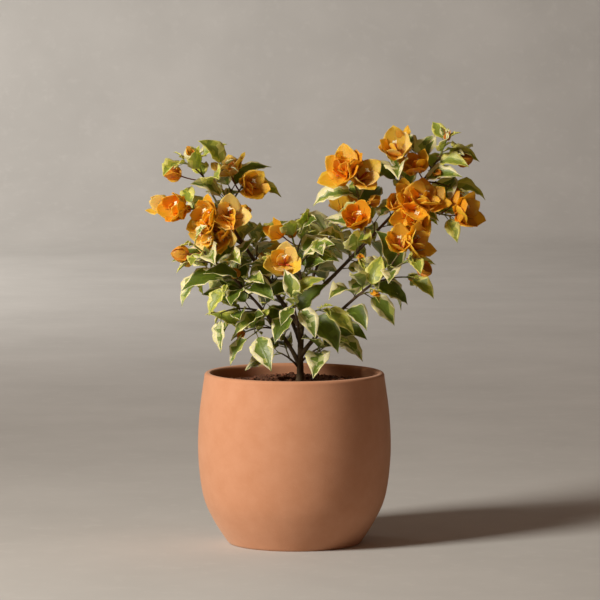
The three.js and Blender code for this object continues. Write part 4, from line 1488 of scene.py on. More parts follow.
@dataclass
class Foliage:
    """One mass dressed: its twigs, leaves, bracts and flowers, each kind a piece."""

    mass: Mass
    skeleton: Skeleton
    crown: Crown
    palette: Palette
    leaf: Blade = Blade(10, 0.29, 0.8, 1.45, fold=20, cup=0.1, ripples=2.8, ripple_height=0.18)
    bract: Blade = Blade(7, 0.43, 0.52, 0.8, fold=3, cup=0.1, ripples=2.3, ripple_height=0.14)
    leaf_thickness: float = 0.5
    bract_thickness: float = 0.3
    seed_shift: int = 1000
    petiole_radius: Pair = (1.0, 0.6)
    petiole_least: float = 0.4  # share of its thickness that the smallest leaf's stalk has
    petiole_sunk: float = 1.5
    petiole_sides: int = 5
    petiole_steps: int = 3
    shoot_sides: int = 7
    twig_sides: int = 6
    stem_ages: Pair = (0.6, 0.88)  # shares of the length where the colour of a stem changes
    shoot_ages: Pair = (0.45, 0.8)
    twig_ages: Pair = (0.3, 0.7)
    knot: float = 0.16  # how much a twig swells at a leaf's foot
    knot_power: int = 6
    limb_step: float = 7.0
    least_steps: int = 3
    root: float = 3.0  # how far a stem is sunk into what carries it
    axil_share: float = 0.28  # leaves with a tuft of small leaves at their foot
    axil_leaves: int = 2
    tip_leaves: int = 3
    tuft_size: Pair = (0.16, 0.36)
    tuft_reach: Pair = (3.0, 9.0)
    tuft_lift: float = 0.8
    tuft_lean: float = 0.5
    tuft_stray: float = 0.6
    tuft_bend: Pair = (15, 70)
    old_height: float = 365.0
    oldest_height: float = 320.0
    old_odds: Pair = (0.45, 0.8)  # of an old leaf below the one height and the other
    low_limit: float = 0.96  # a low leaf is pale above this draw
    high_limits: Triple = (0.42, 0.74, 0.9)  # draws that part the ages higher up
    young_odds: float = 0.8  # of a young marking at a shoot's tip
    young_tip: float = 0.78  # where a shoot's tip begins
    young_size: float = 0.45  # smaller leaves are young
    rib_width: float = 0.032
    rib_least: float = 0.25
    rib_rows: int = 4
    bract_foot: Pair = (0.2, 0.45)  # share of a bract that is deeper round its midrib
    bract_near: Pair = (0.25, 0.45)  # where the edges between its tints lie
    bract_far: Pair = (0.6, 0.85)
    pale_odds: float = 0.4  # of a paler spot at its margin
    second_odds: float = 0.35  # of a bloom's second tint on a bract
    inner_odds: float = 0.5  # of the same on an inner one
    amber_odds: float = 0.4  # of an amber bract on a bud
    tip_amber_odds: float = 0.5  # of the same at a shoot's tip
    dark_odds: float = 0.5  # of the darkest tints on a bloom that opens
    bud_spread: float = 42.0
    tip_buds: int = 4
    tip_bud_odds: float = 0.7
    tip_bud_length: Pair = (8.0, 17.0)
    tip_bud_turn: float = 25.0
    tip_bud_lean: Pair = (0.15, 0.6)
    tip_bud_bend: float = -25.0
    # Painted light: blooms on the side the key light comes from (left) get paler tints, those on the shaded
    # side deeper ones.
    lit_side_pale_painted: float = 0.6  # share of pale blooms on the side of the light
    shaded_side_pale_painted: float = 0.12
    inner_open: float = 0.42  # blooms more open than this have further rings of bracts
    young_open: float = 0.35  # blooms less open than this are darker
    inner_rings: tuple[Ring, ...] = (
        Ring(60, steepness=(0.5, 1.1), size=(0.82, 1.0), odds=0.95),
        Ring(20, steepness=(1.3, 2.2), size=(0.6, 0.8), odds=0.6),
    )
    ring_turn: float = 20.0  # how far an inner bract strays from its ring's turn
    ring_bend: float = 12.0  # how much more it bends inwards
    tube_share: float = 0.46
    tube_radius: float = 1.3
    tube_sides: int = 10
    tube_steps: int = 5
    tube_stretch: Pair = (0.9, 1.1)  # for a closed flower and an open one, as the next
    tube_lean: Pair = (0.45, 1.0)
    tube_follow: float = 0.4  # how much a tube bends with its bract
    tube_bend: float = 8.0
    tube_ridge: float = 0.14
    tube_waist: float = 0.55
    tube_start: float = 0.15
    tube_mouth: float = 0.85
    lobes: int = 5
    star_radius: Pair = (4.6, 1.9)
    star_lift: Pair = (0.9, -0.5)  # of its rim and its middle
    hub_radius: float = 0.9

    def __post_init__(self) -> None:
        """Sets up the mass's own random numbers for what the solids don't have."""
        self.chance = Chance(self.mass.seed + self.seed_shift)
        self.things = self.crown.growth[self.mass.name]
        self.short_name = self.mass.name.removeprefix("foliage_")

    def _piece(self, kind: str, tints: type[Enum], slot: str, **extra: float) -> Piece:
        """Starts the piece of one kind."""
        materials = self.palette.tints(tints)
        return Piece(f"{self.short_name}_{kind}", materials, slot, self.mass.name, **extra)

    def build(self) -> None:
        """Builds every piece of the mass."""
        tufts = self._tufts()
        leaves = [thing for thing in self.things if isinstance(thing, Leaf)] + tufts
        self._twigs(leaves).finish()
        self._leaves(leaves).finish()
        if self.mass.blooms:
            self._bracts().finish()
        if any(isinstance(thing, Bract) for thing in self.things):
            self._flowers().finish()

    def _tufts(self) -> list[Leaf]:
        """Small young leaves in the axils of grown ones and at the tips of the shoots.

        Returns:
            The small leaves.
        """
        habit, chance = self.crown.habit, self.chance
        tufts = []
        for thing in self.things:
            if isinstance(thing, Leaf) and chance.next() < self.axil_share:
                towards = thing.midrib.along + UP * self.tuft_lift
                tufts += [self._small_leaf(thing.midrib.base, towards) for _ in range(self.axil_leaves)]
        for path in self.skeleton.shoots[self.mass.name]:
            tip, side, over = path.rail(1)
            for k in range(self.tip_leaves):
                out = around(side, over, k * habit.golden_angle)
                tufts.append(self._small_leaf(tip, path.heading_at(1) + out * self.tuft_lean))
        return tufts

    def _small_leaf(self, foot: Vec, towards: Vec) -> Leaf:
        """A small leaf that stands roughly in a direction.

        Args:
            foot: where it grows.
            towards: the direction.

        Returns:
            The leaf.
        """
        chance = self.chance
        stray = np.array([chance.between(-self.tuft_stray, self.tuft_stray) for _ in range(3)])
        along = unit(unit(towards) + stray)
        size = chance.between(*self.tuft_size)
        length = self.crown.habit.leaf_length * size + chance.between(*self.tuft_reach)
        bend = chance.between(*self.tuft_bend)
        return Leaf(Midrib.facing(foot, along, UP + stray, length, bend), size, 1.0)

    def _petiole(self, leaf: Leaf) -> float:
        """Length of a leaf's stalk."""
        return leaf.midrib.length - self.crown.habit.leaf_length * leaf.size

    def _twigs(self, leaves: Sequence[Leaf]) -> Piece:
        """The stem, shoots, short twigs, petioles and flower stalks.

        Args:
            leaves: whose petioles are built.

        Returns:
            The piece.
        """
        piece = self._piece("twigs", WoodTint, "bark")
        aged = (WoodTint.BROWN, WoodTint.OLIVE, WoodTint.GREEN)
        for i, path in enumerate(self.skeleton.shoots[self.mass.name]):
            self._limb(piece, path, self.shoot_sides, aged, self.shoot_ages if i else self.stem_ages)
        for thing in self.things:
            if isinstance(thing, Twig):
                colours = (WoodTint.RED,) * 3 if thing.is_stalk else (WoodTint.OLIVE, *aged[1:])
                self._limb(piece, thing.path, self.twig_sides, colours, self.twig_ages)
        for leaf in leaves:
            reach = self._petiole(leaf) + self.petiole_sunk
            whole = leaf.midrib
            stalk = Midrib(whole.base, whole.along, whole.face, reach, whole.bend * reach / whole.length)
            thick, thin = (r * min(1, mix(self.petiole_least, 1, leaf.size)) for r in self.petiole_radius)
            slot = slot_of(WoodTint.GREEN if leaf.tip > self.young_tip else WoodTint.OLIVE)
            sides, steps = self.petiole_sides, self.petiole_steps
            piece.add_limb(stalk.rail, lambda t, _: mix(thick, thin, t), sides, steps, lambda t: slot)
        return piece

    def _limb(self, piece: Piece, path: Path, sides: int, colours: Sequence[WoodTint], changes: Pair) -> None:
        """Adds a twig along a path, with a swelling at each leaf's foot.

        Args:
            piece: what the twig becomes part of.
            path: its line.
            sides: faces round it.
            colours: of its foot, middle and tip.
            changes: shares of its length where the colour changes.
        """
        steps = max(self.least_steps, round(path.length / self.limb_step))
        knots = max(1, round(path.length / self.crown.habit.leaf_step))

        def radius_at(t: float, _: float) -> float:
            """Radius at a share of the length, wider at the knots."""
            swell = self.knot * math.cos(math.tau * knots * t) ** self.knot_power
            return path.radius_at(max(0, t)) * (1 + swell)

        def slot_at(t: float) -> int:
            """Slot of the colour at a share of the length."""
            return slot_of(colours[sum(t > change for change in changes)])

        piece.add_limb(path.rail, radius_at, sides, steps, slot_at, -self.root / path.length)

    def _age(self, leaf: Leaf) -> LeafAge:
        """Marking of a leaf, by its place on its shoot and its height.

        Args:
            leaf: that is marked.

        Returns:
            Its age.
        """
        draw = self.chance.next()
        if leaf.tip > self.young_tip or leaf.size < self.young_size:
            return LeafAge.YOUNG if draw < self.young_odds else LeafAge.PALE
        height = leaf.midrib.base[2]
        if height < self.old_height:
            old = self.old_odds[int(height < self.oldest_height)]
            return (LeafAge.OLD, LeafAge.GROWN, LeafAge.PALE)[(draw > old) + (draw > self.low_limit)]
        marks = (LeafAge.GROWN, LeafAge.PALE, LeafAge.YOUNG, LeafAge.OLD)
        return marks[sum(draw > limit for limit in self.high_limits)]

    def _leaves(self, leaves: Sequence[Leaf]) -> Piece:
        """Every blade of the mass, marked by age.

        Args:
            leaves: that are built.

        Returns:
            The piece.
        """
        back = slot_of(LeafTint.PALE_CREAM_BACK)
        piece = self._piece("leaves", LeafTint, "leaf", thickness=self.leaf_thickness, back_slot=back)
        for leaf in leaves:
            marking = self._age(leaf).value
            across = marking.across(self.leaf.rows, self.chance)
            slots = marking.slots(self.leaf.rows, self.chance)
            self.leaf.add(piece, leaf.midrib, self._petiole(leaf), across, slots, self.chance)
        return piece

    def _bract_blade(self, piece: Piece, midrib: Midrib, tint: BractTint) -> None:
        """Adds one bract with its dark midrib, darker round its foot and paler in places near its margin.

        Args:
            piece: what it becomes part of.
            midrib: its line.
            tint: its main tint.
        """
        chance, rows = self.chance, self.bract.rows
        tints = list(BractTint)
        plain, dark = slot_of(tint), slot_of(BractTint.RIB)
        deeper = slot_of(tints[min(plain + 1, dark - 1)])
        paler = slot_of(tints[max(plain - 1, 0)])
        foot = chance.between(*self.bract_foot) * rows
        across, slots = [], []
        for row in range(rows + 1):
            wide = self.rib_width * max(self.rib_least, 1 - row / rows)
            near, far = chance.between(*self.bract_near), chance.between(*self.bract_far)
            across.append([-1, -far, -near, -wide, wide, near, far, 1])
        for row in range(rows):
            inner = deeper if row < foot else plain
            outer = paler if chance.next() < self.pale_odds else plain
            rib = dark if row < self.rib_rows else inner
            slots.append([outer, plain, inner, rib, inner, plain, outer])
        self.bract.add(piece, midrib, 0.0, across, slots, chance)

    def _bracts(self) -> Piece:
        """The bracts of every bloom and bud, each bloom of one tint or two near ones.

        Returns:
            The piece.
        """
        piece = self._piece("bracts", BractTint, "bract", thickness=self.bract_thickness)
        chance = self.chance
        bracts = [thing for thing in self.things if isinstance(thing, Bract)]
        for first in range(0, len(bracts), BRACTS):
            tints = self._bloom_tints(bracts[first])
            for bract in bracts[first : first + BRACTS]:
                self._bract_blade(piece, bract.midrib, tints[chance.next() < self.second_odds])
                for ring in self.inner_rings:
                    if bract.open > self.inner_open and chance.next() < ring.odds:
                        inner = self._inner(bract, ring)
                        self._bract_blade(piece, inner, tints[chance.next() < self.inner_odds])
        for bud in (thing for thing in self.things if isinstance(thing, Bud)):
            self._bud(piece, bud)
        for path in self.skeleton.shoots[self.mass.name]:
            if chance.next() < self.tip_bud_odds:
                self._tip_buds(piece, path)
        return piece

    def _bud(self, piece: Piece, bud: Bud) -> None:
        """Adds a closed bloom, whose three bracts meet at their tips.

        Args:
            piece: what the bud becomes part of.
            bud: where and how large it is.
        """
        arc = math.radians(self.bud_spread)
        length = bud.size * arc / math.sin(arc)
        for k in range(BRACTS):
            out = around(bud.side, cross(bud.axis, bud.side), THIRD * k)
            along = around(bud.axis, out, self.bud_spread)
            midrib = Midrib.facing(bud.foot, along, bud.axis, length, -2 * self.bud_spread)
            self._bract_blade(piece, midrib, self._bud_tint(self.amber_odds))

    def _tip_buds(self, piece: Piece, path: Path) -> None:
        """Adds a tuft of narrow young bracts at the tip of a shoot.

        Args:
            piece: what the tuft becomes part of.
            path: the shoot.
        """
        chance = self.chance
        tip, side, over = path.rail(1)
        axis = path.heading_at(1)
        for k in range(self.tip_buds):
            turn = 360 * k / self.tip_buds + chance.between(-self.tip_bud_turn, self.tip_bud_turn)
            along = unit(axis + around(side, over, turn) * chance.between(*self.tip_bud_lean))
            length = chance.between(*self.tip_bud_length)
            midrib = Midrib.facing(tip, along, axis, length, self.tip_bud_bend)
            self._bract_blade(piece, midrib, self._bud_tint(self.tip_amber_odds))

    def _bud_tint(self, amber_odds: float) -> BractTint:
        """The tint of a closed bract."""
        return BractTint.AMBER if self.chance.next() < amber_odds else BractTint.RUST

    def _bloom_tints(self, bract: Bract) -> tuple[BractTint, BractTint]:
        """The main tint of a bloom and its second one: buds are darker, and blooms on the lit left side get
        paler tints, as painted light.

        Args:
            bract: the bloom's first one.

        Returns:
            Both tints.
        """
        draw = self.chance.next()
        if bract.open < self.young_open:
            is_dark = draw < self.dark_odds
            return (BractTint.AMBER, BractTint.RUST) if is_dark else (BractTint.ORANGE, BractTint.AMBER)
        # painted light: the lit left side draws paler tints, the shaded side deeper ones
        pale = self.lit_side_pale_painted if bract.midrib.base[0] < 0 else self.shaded_side_pale_painted
        if draw < pale:
            return BractTint.GOLD, BractTint.PEACH
        if draw < (1 + pale) / 2:
            return BractTint.ORANGE, BractTint.GOLD
        return BractTint.ORANGE, BractTint.AMBER

    def _inner(self, bract: Bract, ring: Ring) -> Midrib:
        """The midrib of a smaller bract that stands nearer the bloom's axis than an outer one.

        Args:
            bract: the outer one.
            ring: where the smaller one stands.

        Returns:
            The midrib.
        """
        outer, chance = bract.midrib, self.chance
        out = square_to(outer.along, bract.axis)
        over = cross(bract.axis, out)
        turned = ring.turn + chance.between(-self.ring_turn, self.ring_turn)
        along = unit(bract.axis * chance.between(*ring.steepness) + around(out, over, turned))
        length = outer.length * chance.between(*ring.size)
        return Midrib.facing(outer.base, along, bract.axis, length, outer.bend - self.ring_bend)

    def _flowers(self) -> Piece:
        """A tube on each bract of the wider blooms, one of them open in a star.

        Returns:
            The piece.
        """
        piece = self._piece("flowers", FlowerTint, "flower")
        bracts = [thing for thing in self.things if isinstance(thing, Bract)]
        for i, bract in enumerate(bracts):
            self._flower(piece, bract, is_open=i % BRACTS == 0 and bract.open > self.inner_open)
        return piece

    def _flower(self, piece: Piece, bract: Bract, is_open: bool) -> None:
        """Adds one flower: a swollen tube with a closed tip or a star of five lobes.

        Args:
            piece: what the flower becomes part of.
            bract: that carries it.
            is_open: whether it ends in a star.
        """
        outer = bract.midrib
        length = outer.length * self.tube_share * self.tube_stretch[is_open]
        along = unit(outer.along + bract.axis * self.tube_lean[is_open])
        bend = min(0, outer.bend * self.tube_follow) - self.tube_bend
        tube = Midrib.facing(outer.base, along, bract.axis, length, bend)

        def radius_at(t: float, angle: float) -> float:
            """Radius at a share of the length and an angle, with a ridge for each lobe.

            Args:
                t: share of the length.
                angle: round the tube.

            Returns:
                The radius.
            """
            ridge = 1 + self.tube_ridge * math.cos(math.radians(self.lobes * angle))
            swell = math.sin(math.pi * min(1, self.tube_start + t))
            return self.tube_radius * mix(self.tube_waist, 1, swell) * ridge

        def slot_at(t: float) -> int:
            """Slot of the colour at a share of the length."""
            return slot_of(FlowerTint.LIP if is_open and t > self.tube_mouth else FlowerTint.TUBE)

        piece.add_limb(tube.rail, radius_at, self.tube_sides, self.tube_steps, slot_at)
        if is_open:
            self._star(piece, *tube.at(length))

    def _star(self, piece: Piece, centre: Vec, along: Vec, face: Vec) -> None:
        """Adds the star at a tube's end: a disc with two points for each lobe, every second one drawn in.

        Args:
            piece: what the star becomes part of.
            centre: the tube's end.
            along: the tube's direction.
            face: its upper side.
        """
        side = cross(along, face)
        points = 2 * self.lobes
        step = 360 / points
        made = bmesh.ops.create_circle(piece.mesh, cap_ends=True, cap_tris=True, segments=points, radius=1.0)
        rim = made["verts"]
        turn = self.chance.between(0, 2 * step)
        for vert in rim:
            is_middle = vert.co.length < 0.5
            angle = round(math.degrees(math.atan2(vert.co.y, vert.co.x)) / step)
            reach = 0 if is_middle else self.star_radius[angle % 2]
            lift = self.star_lift[is_middle]
            vert.co = Vector(centre + around(side, face, step * angle + turn) * reach + along * lift)
        hub = bmesh.ops.create_icosphere(piece.mesh, subdivisions=1, radius=self.hub_radius)["verts"]
        bmesh.ops.translate(piece.mesh, vec=Vector(centre), verts=hub)
        for verts, tint in ((rim, FlowerTint.LIP), (hub, FlowerTint.THROAT)):
            for made_face in {made_face for vert in verts for made_face in vert.link_faces}:
                made_face.material_index = slot_of(tint)


# ---------------------------------------------------------------- wood


@dataclass
class Wood:
    """Trunk and boughs with bark relief; each bough grows out of the trunk's middle."""

    skeleton: Skeleton
    palette: Palette
    sides: int = 18
    step: float = 2.2
    ridge_depth: float = 0.13
    knot_depth: float = 0.1
    knot_gap: float = 15.0  # distance between knots
    knot_width: float = 3.0
    knot_scale: float = 0.5  # of its noise, as a share of the ridges'
    ridges: Triple = (0.8, 2.1, 4)  # their roughness, how much finer each octave is, and the octaves
    ridge_scale: float = 2.2
    ridge_stretch: float = 0.09
    seed_step: float = 7.3
    collar: float = 0.35  # how much wider a bough is where it leaves the trunk
    collar_start: float = 3.0
    collar_length: float = 9.0
    sunk: float = 4.0  # how far the trunk's foot reaches into the soil
    flare: float = 1.5

    def build(self) -> None:
        """Builds the trunk and each bough."""
        self._limb("trunk", replace(self.skeleton.trunk, flare=self.flare), -self.sunk, 0.0)
        for spec in BOUGHS:
            _, out = self.skeleton.fork(spec.height, spec, self.skeleton.habit.bough_sides)
            self._limb(f"bough_{spec.name}", self.skeleton.boughs[spec.name], -out, self.collar)

    def _limb(self, node: str, path: Path, begin: float, collar: float) -> None:
        """Adds one limb.

        Args:
            node: the solid that it replaces.
            path: its line.
            begin: where it starts along that line.
            collar: how much wider it is at its foot.
        """
        piece = Piece(f"{node}_bark", self.palette.of(BARK), "bark", node)
        seed = Vector((len(node) * self.seed_step, path.length, 0))

        def radius_at(t: float, angle: float) -> float:
            """Radius at a share of the length and an angle, with ridges and knots.

            Args:
                t: share of the length.
                angle: round the limb.

            Returns:
                The radius.
            """
            height = t * path.length
            a, wide = math.radians(angle), self.ridge_scale
            place = Vector((wide * math.cos(a), wide * math.sin(a), height * self.ridge_stretch)) + seed
            ridges = noise.fractal(place, *self.ridges)
            off_knot = height % self.knot_gap - self.knot_gap / 2
            knots = math.exp(-(off_knot**2) / self.knot_width) * noise.noise(place * self.knot_scale)
            wider = 1 + collar * math.exp(-max(0, height - begin - self.collar_start) / self.collar_length)
            relief = self.ridge_depth * ridges + self.knot_depth * knots
            return path.radius_at(max(0, t)) * wider * (1 + relief)

        steps = round((path.length - begin) / self.step)
        piece.add_limb(path.rail, radius_at, self.sides, steps, start=begin / path.length)
        piece.finish()


# ---------------------------------------------------------------- planter and soil


def spline(points: Sequence[Pair], steps: int) -> list[Pair]:
    """A smooth curve through points.

    Args:
        points: what it passes through.
        steps: pieces between the first and the last.

    Returns:
        The curve's points.
    """
    curve = []
    last = len(points) - 1
    for k in range(steps + 1):
        place = last * k / steps
        i = min(int(place), last - 1)
        t = place - i
        before, first, second, after = (points[min(max(j, 0), last)] for j in (i - 1, i, i + 1, i + 2))
        point = []
        for p0, p1, p2, p3 in zip(before, first, second, after):
            v0, v1 = (p2 - p0) / 2, (p3 - p1) / 2
            cubic = (2 * p1 - 2 * p2 + v0 + v1) * t**3 + (-3 * p1 + 3 * p2 - 2 * v0 - v1) * t**2
            point.append(cubic + v0 * t + p1)
        curve.append(tuple(point))
    return curve


def spin_profile(mesh: bmesh.types.BMesh, profile: Sequence[Pair], steps: int) -> None:
    """Turns a profile of radius and height into a closed solid of revolution.

    Args:
        mesh: what it becomes part of.
        profile: its points.
        steps: faces round it.
    """
    verts = [mesh.verts.new((radius, 0, height)) for radius, height in profile]
    edges = [mesh.edges.new(pair) for pair in zip(verts, verts[1:])]
    bmesh.ops.spin(
        mesh, geom=verts + edges, cent=(0, 0, 0), axis=(0, 0, 1), angle=math.tau, steps=steps, use_merge=True
    )
    bmesh.ops.remove_doubles(mesh, verts=mesh.verts, dist=WELD)
    bmesh.ops.recalc_face_normals(mesh, faces=mesh.faces)


@dataclass
class Planter:
    """The round terracotta planter, thrown in one piece, with a soft lip and a slightly eased foot."""

    palette: Palette
    outline: tuple[Pair, ...] = ((91, 2), (110, 32), (123.5, 65), (130, 118), (128.5, 172), (121.5, 225))
    height: float = 231.0
    wall: float = 9.5
    floor: float = 14.0
    foot_edge: float = 2.0
    floor_rounding: float = 6.0
    outline_steps: int = 40
    turns: int = 144
    lip_radius: float = 4.4
    lip_steps: int = 6
    unevenness: float = 0.25  # of the hand-finished wall
    wave_scale: float = 0.012
    level: float = 0.01  # heights nearer than this are the same
    same_radius: float = 0.5

    def inner(self, distance: float) -> list[Pair]:
        """The wall a distance inside the outer one, from the floor's rounding up."""
        outer = spline(self.outline, self.outline_steps)
        return [(r - distance, z) for r, z in outer if z > self.floor + self.floor_rounding]

    def build(self) -> None:
        """Builds the planter."""
        piece = Piece("planter", self.palette.of(TERRACOTTA), "terracotta", "pot")
        outer = [*spline(self.outline, self.outline_steps), (self.outline[-1][0], self.height)]
        inside = [(self.outline[-1][0] - self.wall, self.height), *reversed(self.inner(self.wall))]
        foot = [(0, 0), (self.outline[0][0] - self.foot_edge, 0)]
        bed = [(inside[-1][0] - 2 * self.floor_rounding, self.floor), (0, self.floor)]
        spin_profile(piece.mesh, [*foot, *outer, *inside, *bed], self.turns)
        self._round_lip(piece.mesh)
        for vert in piece.mesh.verts:
            flat = Vector((vert.co.x, vert.co.y, 0))
            if flat.length > self.wall and vert.co.z > self.floor:
                vert.co += flat.normalized() * (self.unevenness * noise.noise(vert.co * self.wave_scale))
        piece.finish()

    def _round_lip(self, mesh: bmesh.types.BMesh) -> None:
        """Rounds both edges of the rim.

        Args:
            mesh: of the planter.
        """
        top = [
            edge
            for edge in mesh.edges
            if all(abs(v.co.z - self.height) < self.level for v in edge.verts)
            and abs(edge.verts[0].co.xy.length - edge.verts[1].co.xy.length) < self.same_radius
        ]
        bmesh.ops.bevel(
            mesh,
            geom=top,
            offset=self.lip_radius,
            segments=self.lip_steps,
            profile=0.5,
            affect="EDGES",
            material=-1,
            clamp_overlap=True,
        )


@dataclass
class Soil:
    """Moist potting soil, mounded round the trunk, with crumbs lying on it."""

    planter: Planter
    palette: Palette
    clear: float = 0.3
    top: float = 217.0
    level_radius: float = 26.0
    shoulder: Pair = (84.0, 216.0)
    edge: float = 209.0
    ring_step: float = 2.0
    turns: int = 180
    relief: float = 4.2
    relief_scale: float = 0.1
    octaves: Triple = (0.6, 2.2, 4)  # their roughness, how much finer each is, and their number
    clod_scale: float = 0.3
    clod_share: float = 0.35
    clod_gap: float = 1.2
    skin: float = 1.0  # the surface reaches this far below the edge
    seam: float = 0.5  # strip along the wall that stays smooth
    fade: float = 5.0  # distance from the wall over which the relief grows
    seed: int = 77
    crumbs: int = 760
    crumb_size: Pair = (1.0, 4.2)
    crumb_power: int = 3  # the higher, the rarer are large crumbs
    crumb_margin: float = 6.0
    crumb_lift: float = 0.25
    crumb_unevenness: float = 0.45
    crumb_wave: float = 1.1
    crumb_flatness: float = 0.7

    def _height_at(self, radius: float) -> float:
        """Height of the mound's smooth surface.

        Args:
            radius: distance from the planter's axis.

        Returns:
            The height.
        """
        rim = self._rim
        if radius < self.level_radius:
            return self.top
        if radius < self.shoulder[0]:
            share = (radius - self.level_radius) / (self.shoulder[0] - self.level_radius)
            return mix(self.top, self.shoulder[1], share)
        share = (radius - self.shoulder[0]) / (rim - self.shoulder[0])
        return mix(self.shoulder[1], self.edge, min(1, share))

    @property
    def _rim(self) -> float:
        """Radius of the soil where it meets the wall."""
        return self._wall[-1][0]

    @property
    def _wall(self) -> list[Pair]:
        """The soil's side, below its edge."""
        return [p for p in self.planter.inner(self.planter.wall + 2 * self.clear) if p[1] < self.edge]

    def _bumps(self, point: Vector) -> float:
        """Crumbly relief at a point of the surface.

        Args:
            point: on the smooth surface.

        Returns:
            The rise.
        """
        coarse = noise.fractal(point * self.relief_scale, *self.octaves)
        cells = noise.voronoi(point * self.clod_scale)[0][0]
        return self.relief * (coarse + self.clod_share * (self.clod_gap - cells))

    def build(self) -> None:
        """Builds the soil and the crumbs on it."""
        piece = Piece("potting_soil", self.palette.of(SOIL), "soil", "soil")
        wall = self._wall
        bottom = self.planter.floor + self.clear
        bed = [(0, bottom), (wall[0][0] - 2 * self.planter.floor_rounding, bottom)]
        rings = round(self._rim / self.ring_step)
        surface = [(r, self._height_at(r)) for r in (self._rim * k / rings for k in range(rings, -1, -1))]
        spin_profile(piece.mesh, [*bed, *wall, *surface], self.turns)
        for vert in piece.mesh.verts:
            radius = vert.co.xy.length
            if vert.co.z > self.edge - self.skin and radius < self._rim - self.seam:
                fade = min(1.0, (self._rim - radius) / self.fade)
                vert.co.z += self._bumps(vert.co) * fade
        piece.finish()
        self._crumbs()

    def _crumbs(self) -> None:
        """Builds the loose crumbs."""
        piece = Piece("soil_crumbs", self.palette.of(CRUMB), "soil", "soil")
        chance = Chance(self.seed)
        for _ in range(self.crumbs):
            radius = (self._rim - self.crumb_margin) * math.sqrt(chance.next())
            bearing = chance.between(0, 360)
            size = mix(*self.crumb_size, chance.next() ** self.crumb_power)
            spot = Vector(heading(bearing, 0) * radius)
            spot.z = self._height_at(radius)
            spot.z += self._bumps(spot) + size * self.crumb_lift
            made = bmesh.ops.create_icosphere(piece.mesh, subdivisions=1, radius=size)["verts"]
            for vert in made:
                wave = noise.noise(vert.co * (self.crumb_wave / size) + spot)
                vert.co *= 1 + self.crumb_unevenness * wave
                vert.co.z *= self.crumb_flatness
                vert.co += spot
        piece.finish()


# ---------------------------------------------------------------- studio


@dataclass(frozen=True)
class Lamp:
    """A square light: where it stands, its side, power in watts and colour, its aim, and its beam's width."""

    name: str
    place: Triple
    size: float
    power: float
    colour: str
    aim: Triple = (0.0, 0.0, 0.3)
    spread: float = 180.0

    def build(self) -> None:
        """Places the light."""
        data = bpy.data.lights.new(self.name, "AREA")
        data.size = self.size
        data.energy = self.power
        data.color = linear(self.colour)[:3]
        data.spread = math.radians(self.spread)
        light = bpy.data.objects.new(self.name, data)
        light.location = self.place
        light.rotation_euler = (Vector(self.aim) - Vector(self.place)).to_track_quat("-Z", "Y").to_euler()
        bpy.context.scene.collection.objects.link(light)


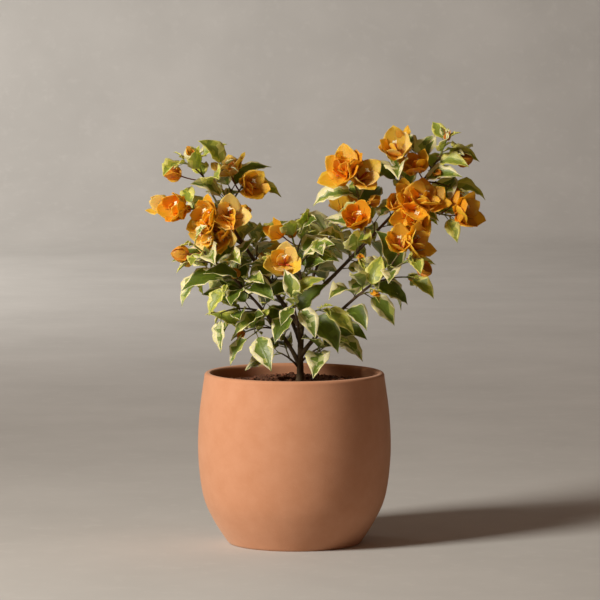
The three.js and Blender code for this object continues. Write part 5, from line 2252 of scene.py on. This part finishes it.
@dataclass
class Studio:
    """Floor, light and camera: a long lens a little above the rim, and a key light from the left."""

    palette: Palette
    picture: int = 600
    pivot: Triple = (0.0, 0.0, 0.115)
    pivot_pixel: Pair = (294.4, 457.2)
    distance: float = 5.0
    elevation: float = 7.5
    width_at_pivot: float = 0.812
    sensor: float = 36.0
    floor_half: float = 18.0
    wall_distance: float = 6.4  # beyond a camera that looks from behind
    wall_height: float = 6.0
    cove: float = 1.1
    cove_steps: int = 12
    lamps: tuple[Lamp, ...] = (
        Lamp("key", (-2.55, -1.8, 1.9), 0.9, 55, "#fff6ea", spread=110),
        Lamp("backdrop", (-3.2, 3.2, 2.2), 1.0, 94, "#fff8f0", (-0.5, 5.2, 0.0), 142),
    )
    surround: str = "#e6b08c"
    surround_strength: float = 0.14

    def build(self) -> None:
        """Builds the camera, the lights and the floor."""
        self._camera()
        self._floor()
        self._lights()

    def _camera(self) -> None:
        """Places the camera so that the pivot falls on its pixel."""
        data = bpy.data.cameras.new("camera")
        data.sensor_width = self.sensor
        data.lens = self.sensor * self.distance / self.width_at_pivot
        camera = bpy.data.objects.new("camera", data)
        bpy.context.scene.collection.objects.link(camera)
        up = math.radians(self.elevation)
        camera.location = Vector(self.pivot) + Vector((0, -math.cos(up), math.sin(up))) * self.distance
        pixel = self.width_at_pivot / self.picture
        right = math.atan((self.picture / 2 - self.pivot_pixel[0]) * pixel / self.distance)
        raised = math.atan((self.pivot_pixel[1] - self.picture / 2) * pixel / self.distance)
        camera.rotation_euler = (math.pi / 2 - up + raised, 0, -right)
        bpy.context.scene.camera = camera

    def _floor(self) -> None:
        """Builds a pale floor that curves up into a wall."""
        mesh = bmesh.new()
        half = self.floor_half
        outline = [(-half, 0.0)]
        for k in range(self.cove_steps + 1):
            a = math.pi / 2 * k / self.cove_steps
            away, up = self.cove * (1 - math.sin(a)), self.cove * (1 - math.cos(a))
            outline.append((self.wall_distance - away, up))
        outline.append((self.wall_distance, self.wall_height))
        verts = [mesh.verts.new((-half, y, z)) for y, z in outline]
        edges = [mesh.edges.new(pair) for pair in zip(verts, verts[1:])]
        swept = bmesh.ops.extrude_edge_only(mesh, edges=edges)["geom"]
        moved = [v for v in swept if isinstance(v, bmesh.types.BMVert)]
        bmesh.ops.translate(mesh, vec=(2 * half, 0, 0), verts=moved)
        bmesh.ops.recalc_face_normals(mesh, faces=mesh.faces)
        data = bpy.data.meshes.new("floor")
        mesh.to_mesh(data)
        mesh.free()
        data.shade_smooth()
        data.materials.append(self.palette.of(STUDIO_PLASTER)[0])
        floor = bpy.data.objects.new("floor", data)
        bpy.context.scene.collection.objects.link(floor)

    def _lights(self) -> None:
        """Places a key light on the left, one for the backdrop, and a dim warm surround."""
        for lamp in self.lamps:
            lamp.build()
        world = bpy.data.worlds.new("studio")
        world.use_nodes = True
        background = world.node_tree.nodes["Background"]
        background.inputs["Color"].default_value = linear(self.surround)
        background.inputs["Strength"].default_value = self.surround_strength
        bpy.context.scene.world = world
        bpy.context.scene.view_settings.view_transform = "Standard"


# ---------------------------------------------------------------- assembly


def main() -> None:
    """Builds the scene piece by piece."""
    logging.basicConfig(level=logging.INFO, format="%(message)s")
    palette = Palette()
    Studio(palette).build()
    planter = Planter(palette)
    planter.build()
    Soil(planter, palette).build()
    skeleton = Skeleton(Habit())
    Wood(skeleton, palette).build()
    crown = Crown(skeleton)
    crown.grow()
    for mass in MASSES:
        Foliage(mass, skeleton, crown, palette).build()


if __name__ == "__main__":
    main()
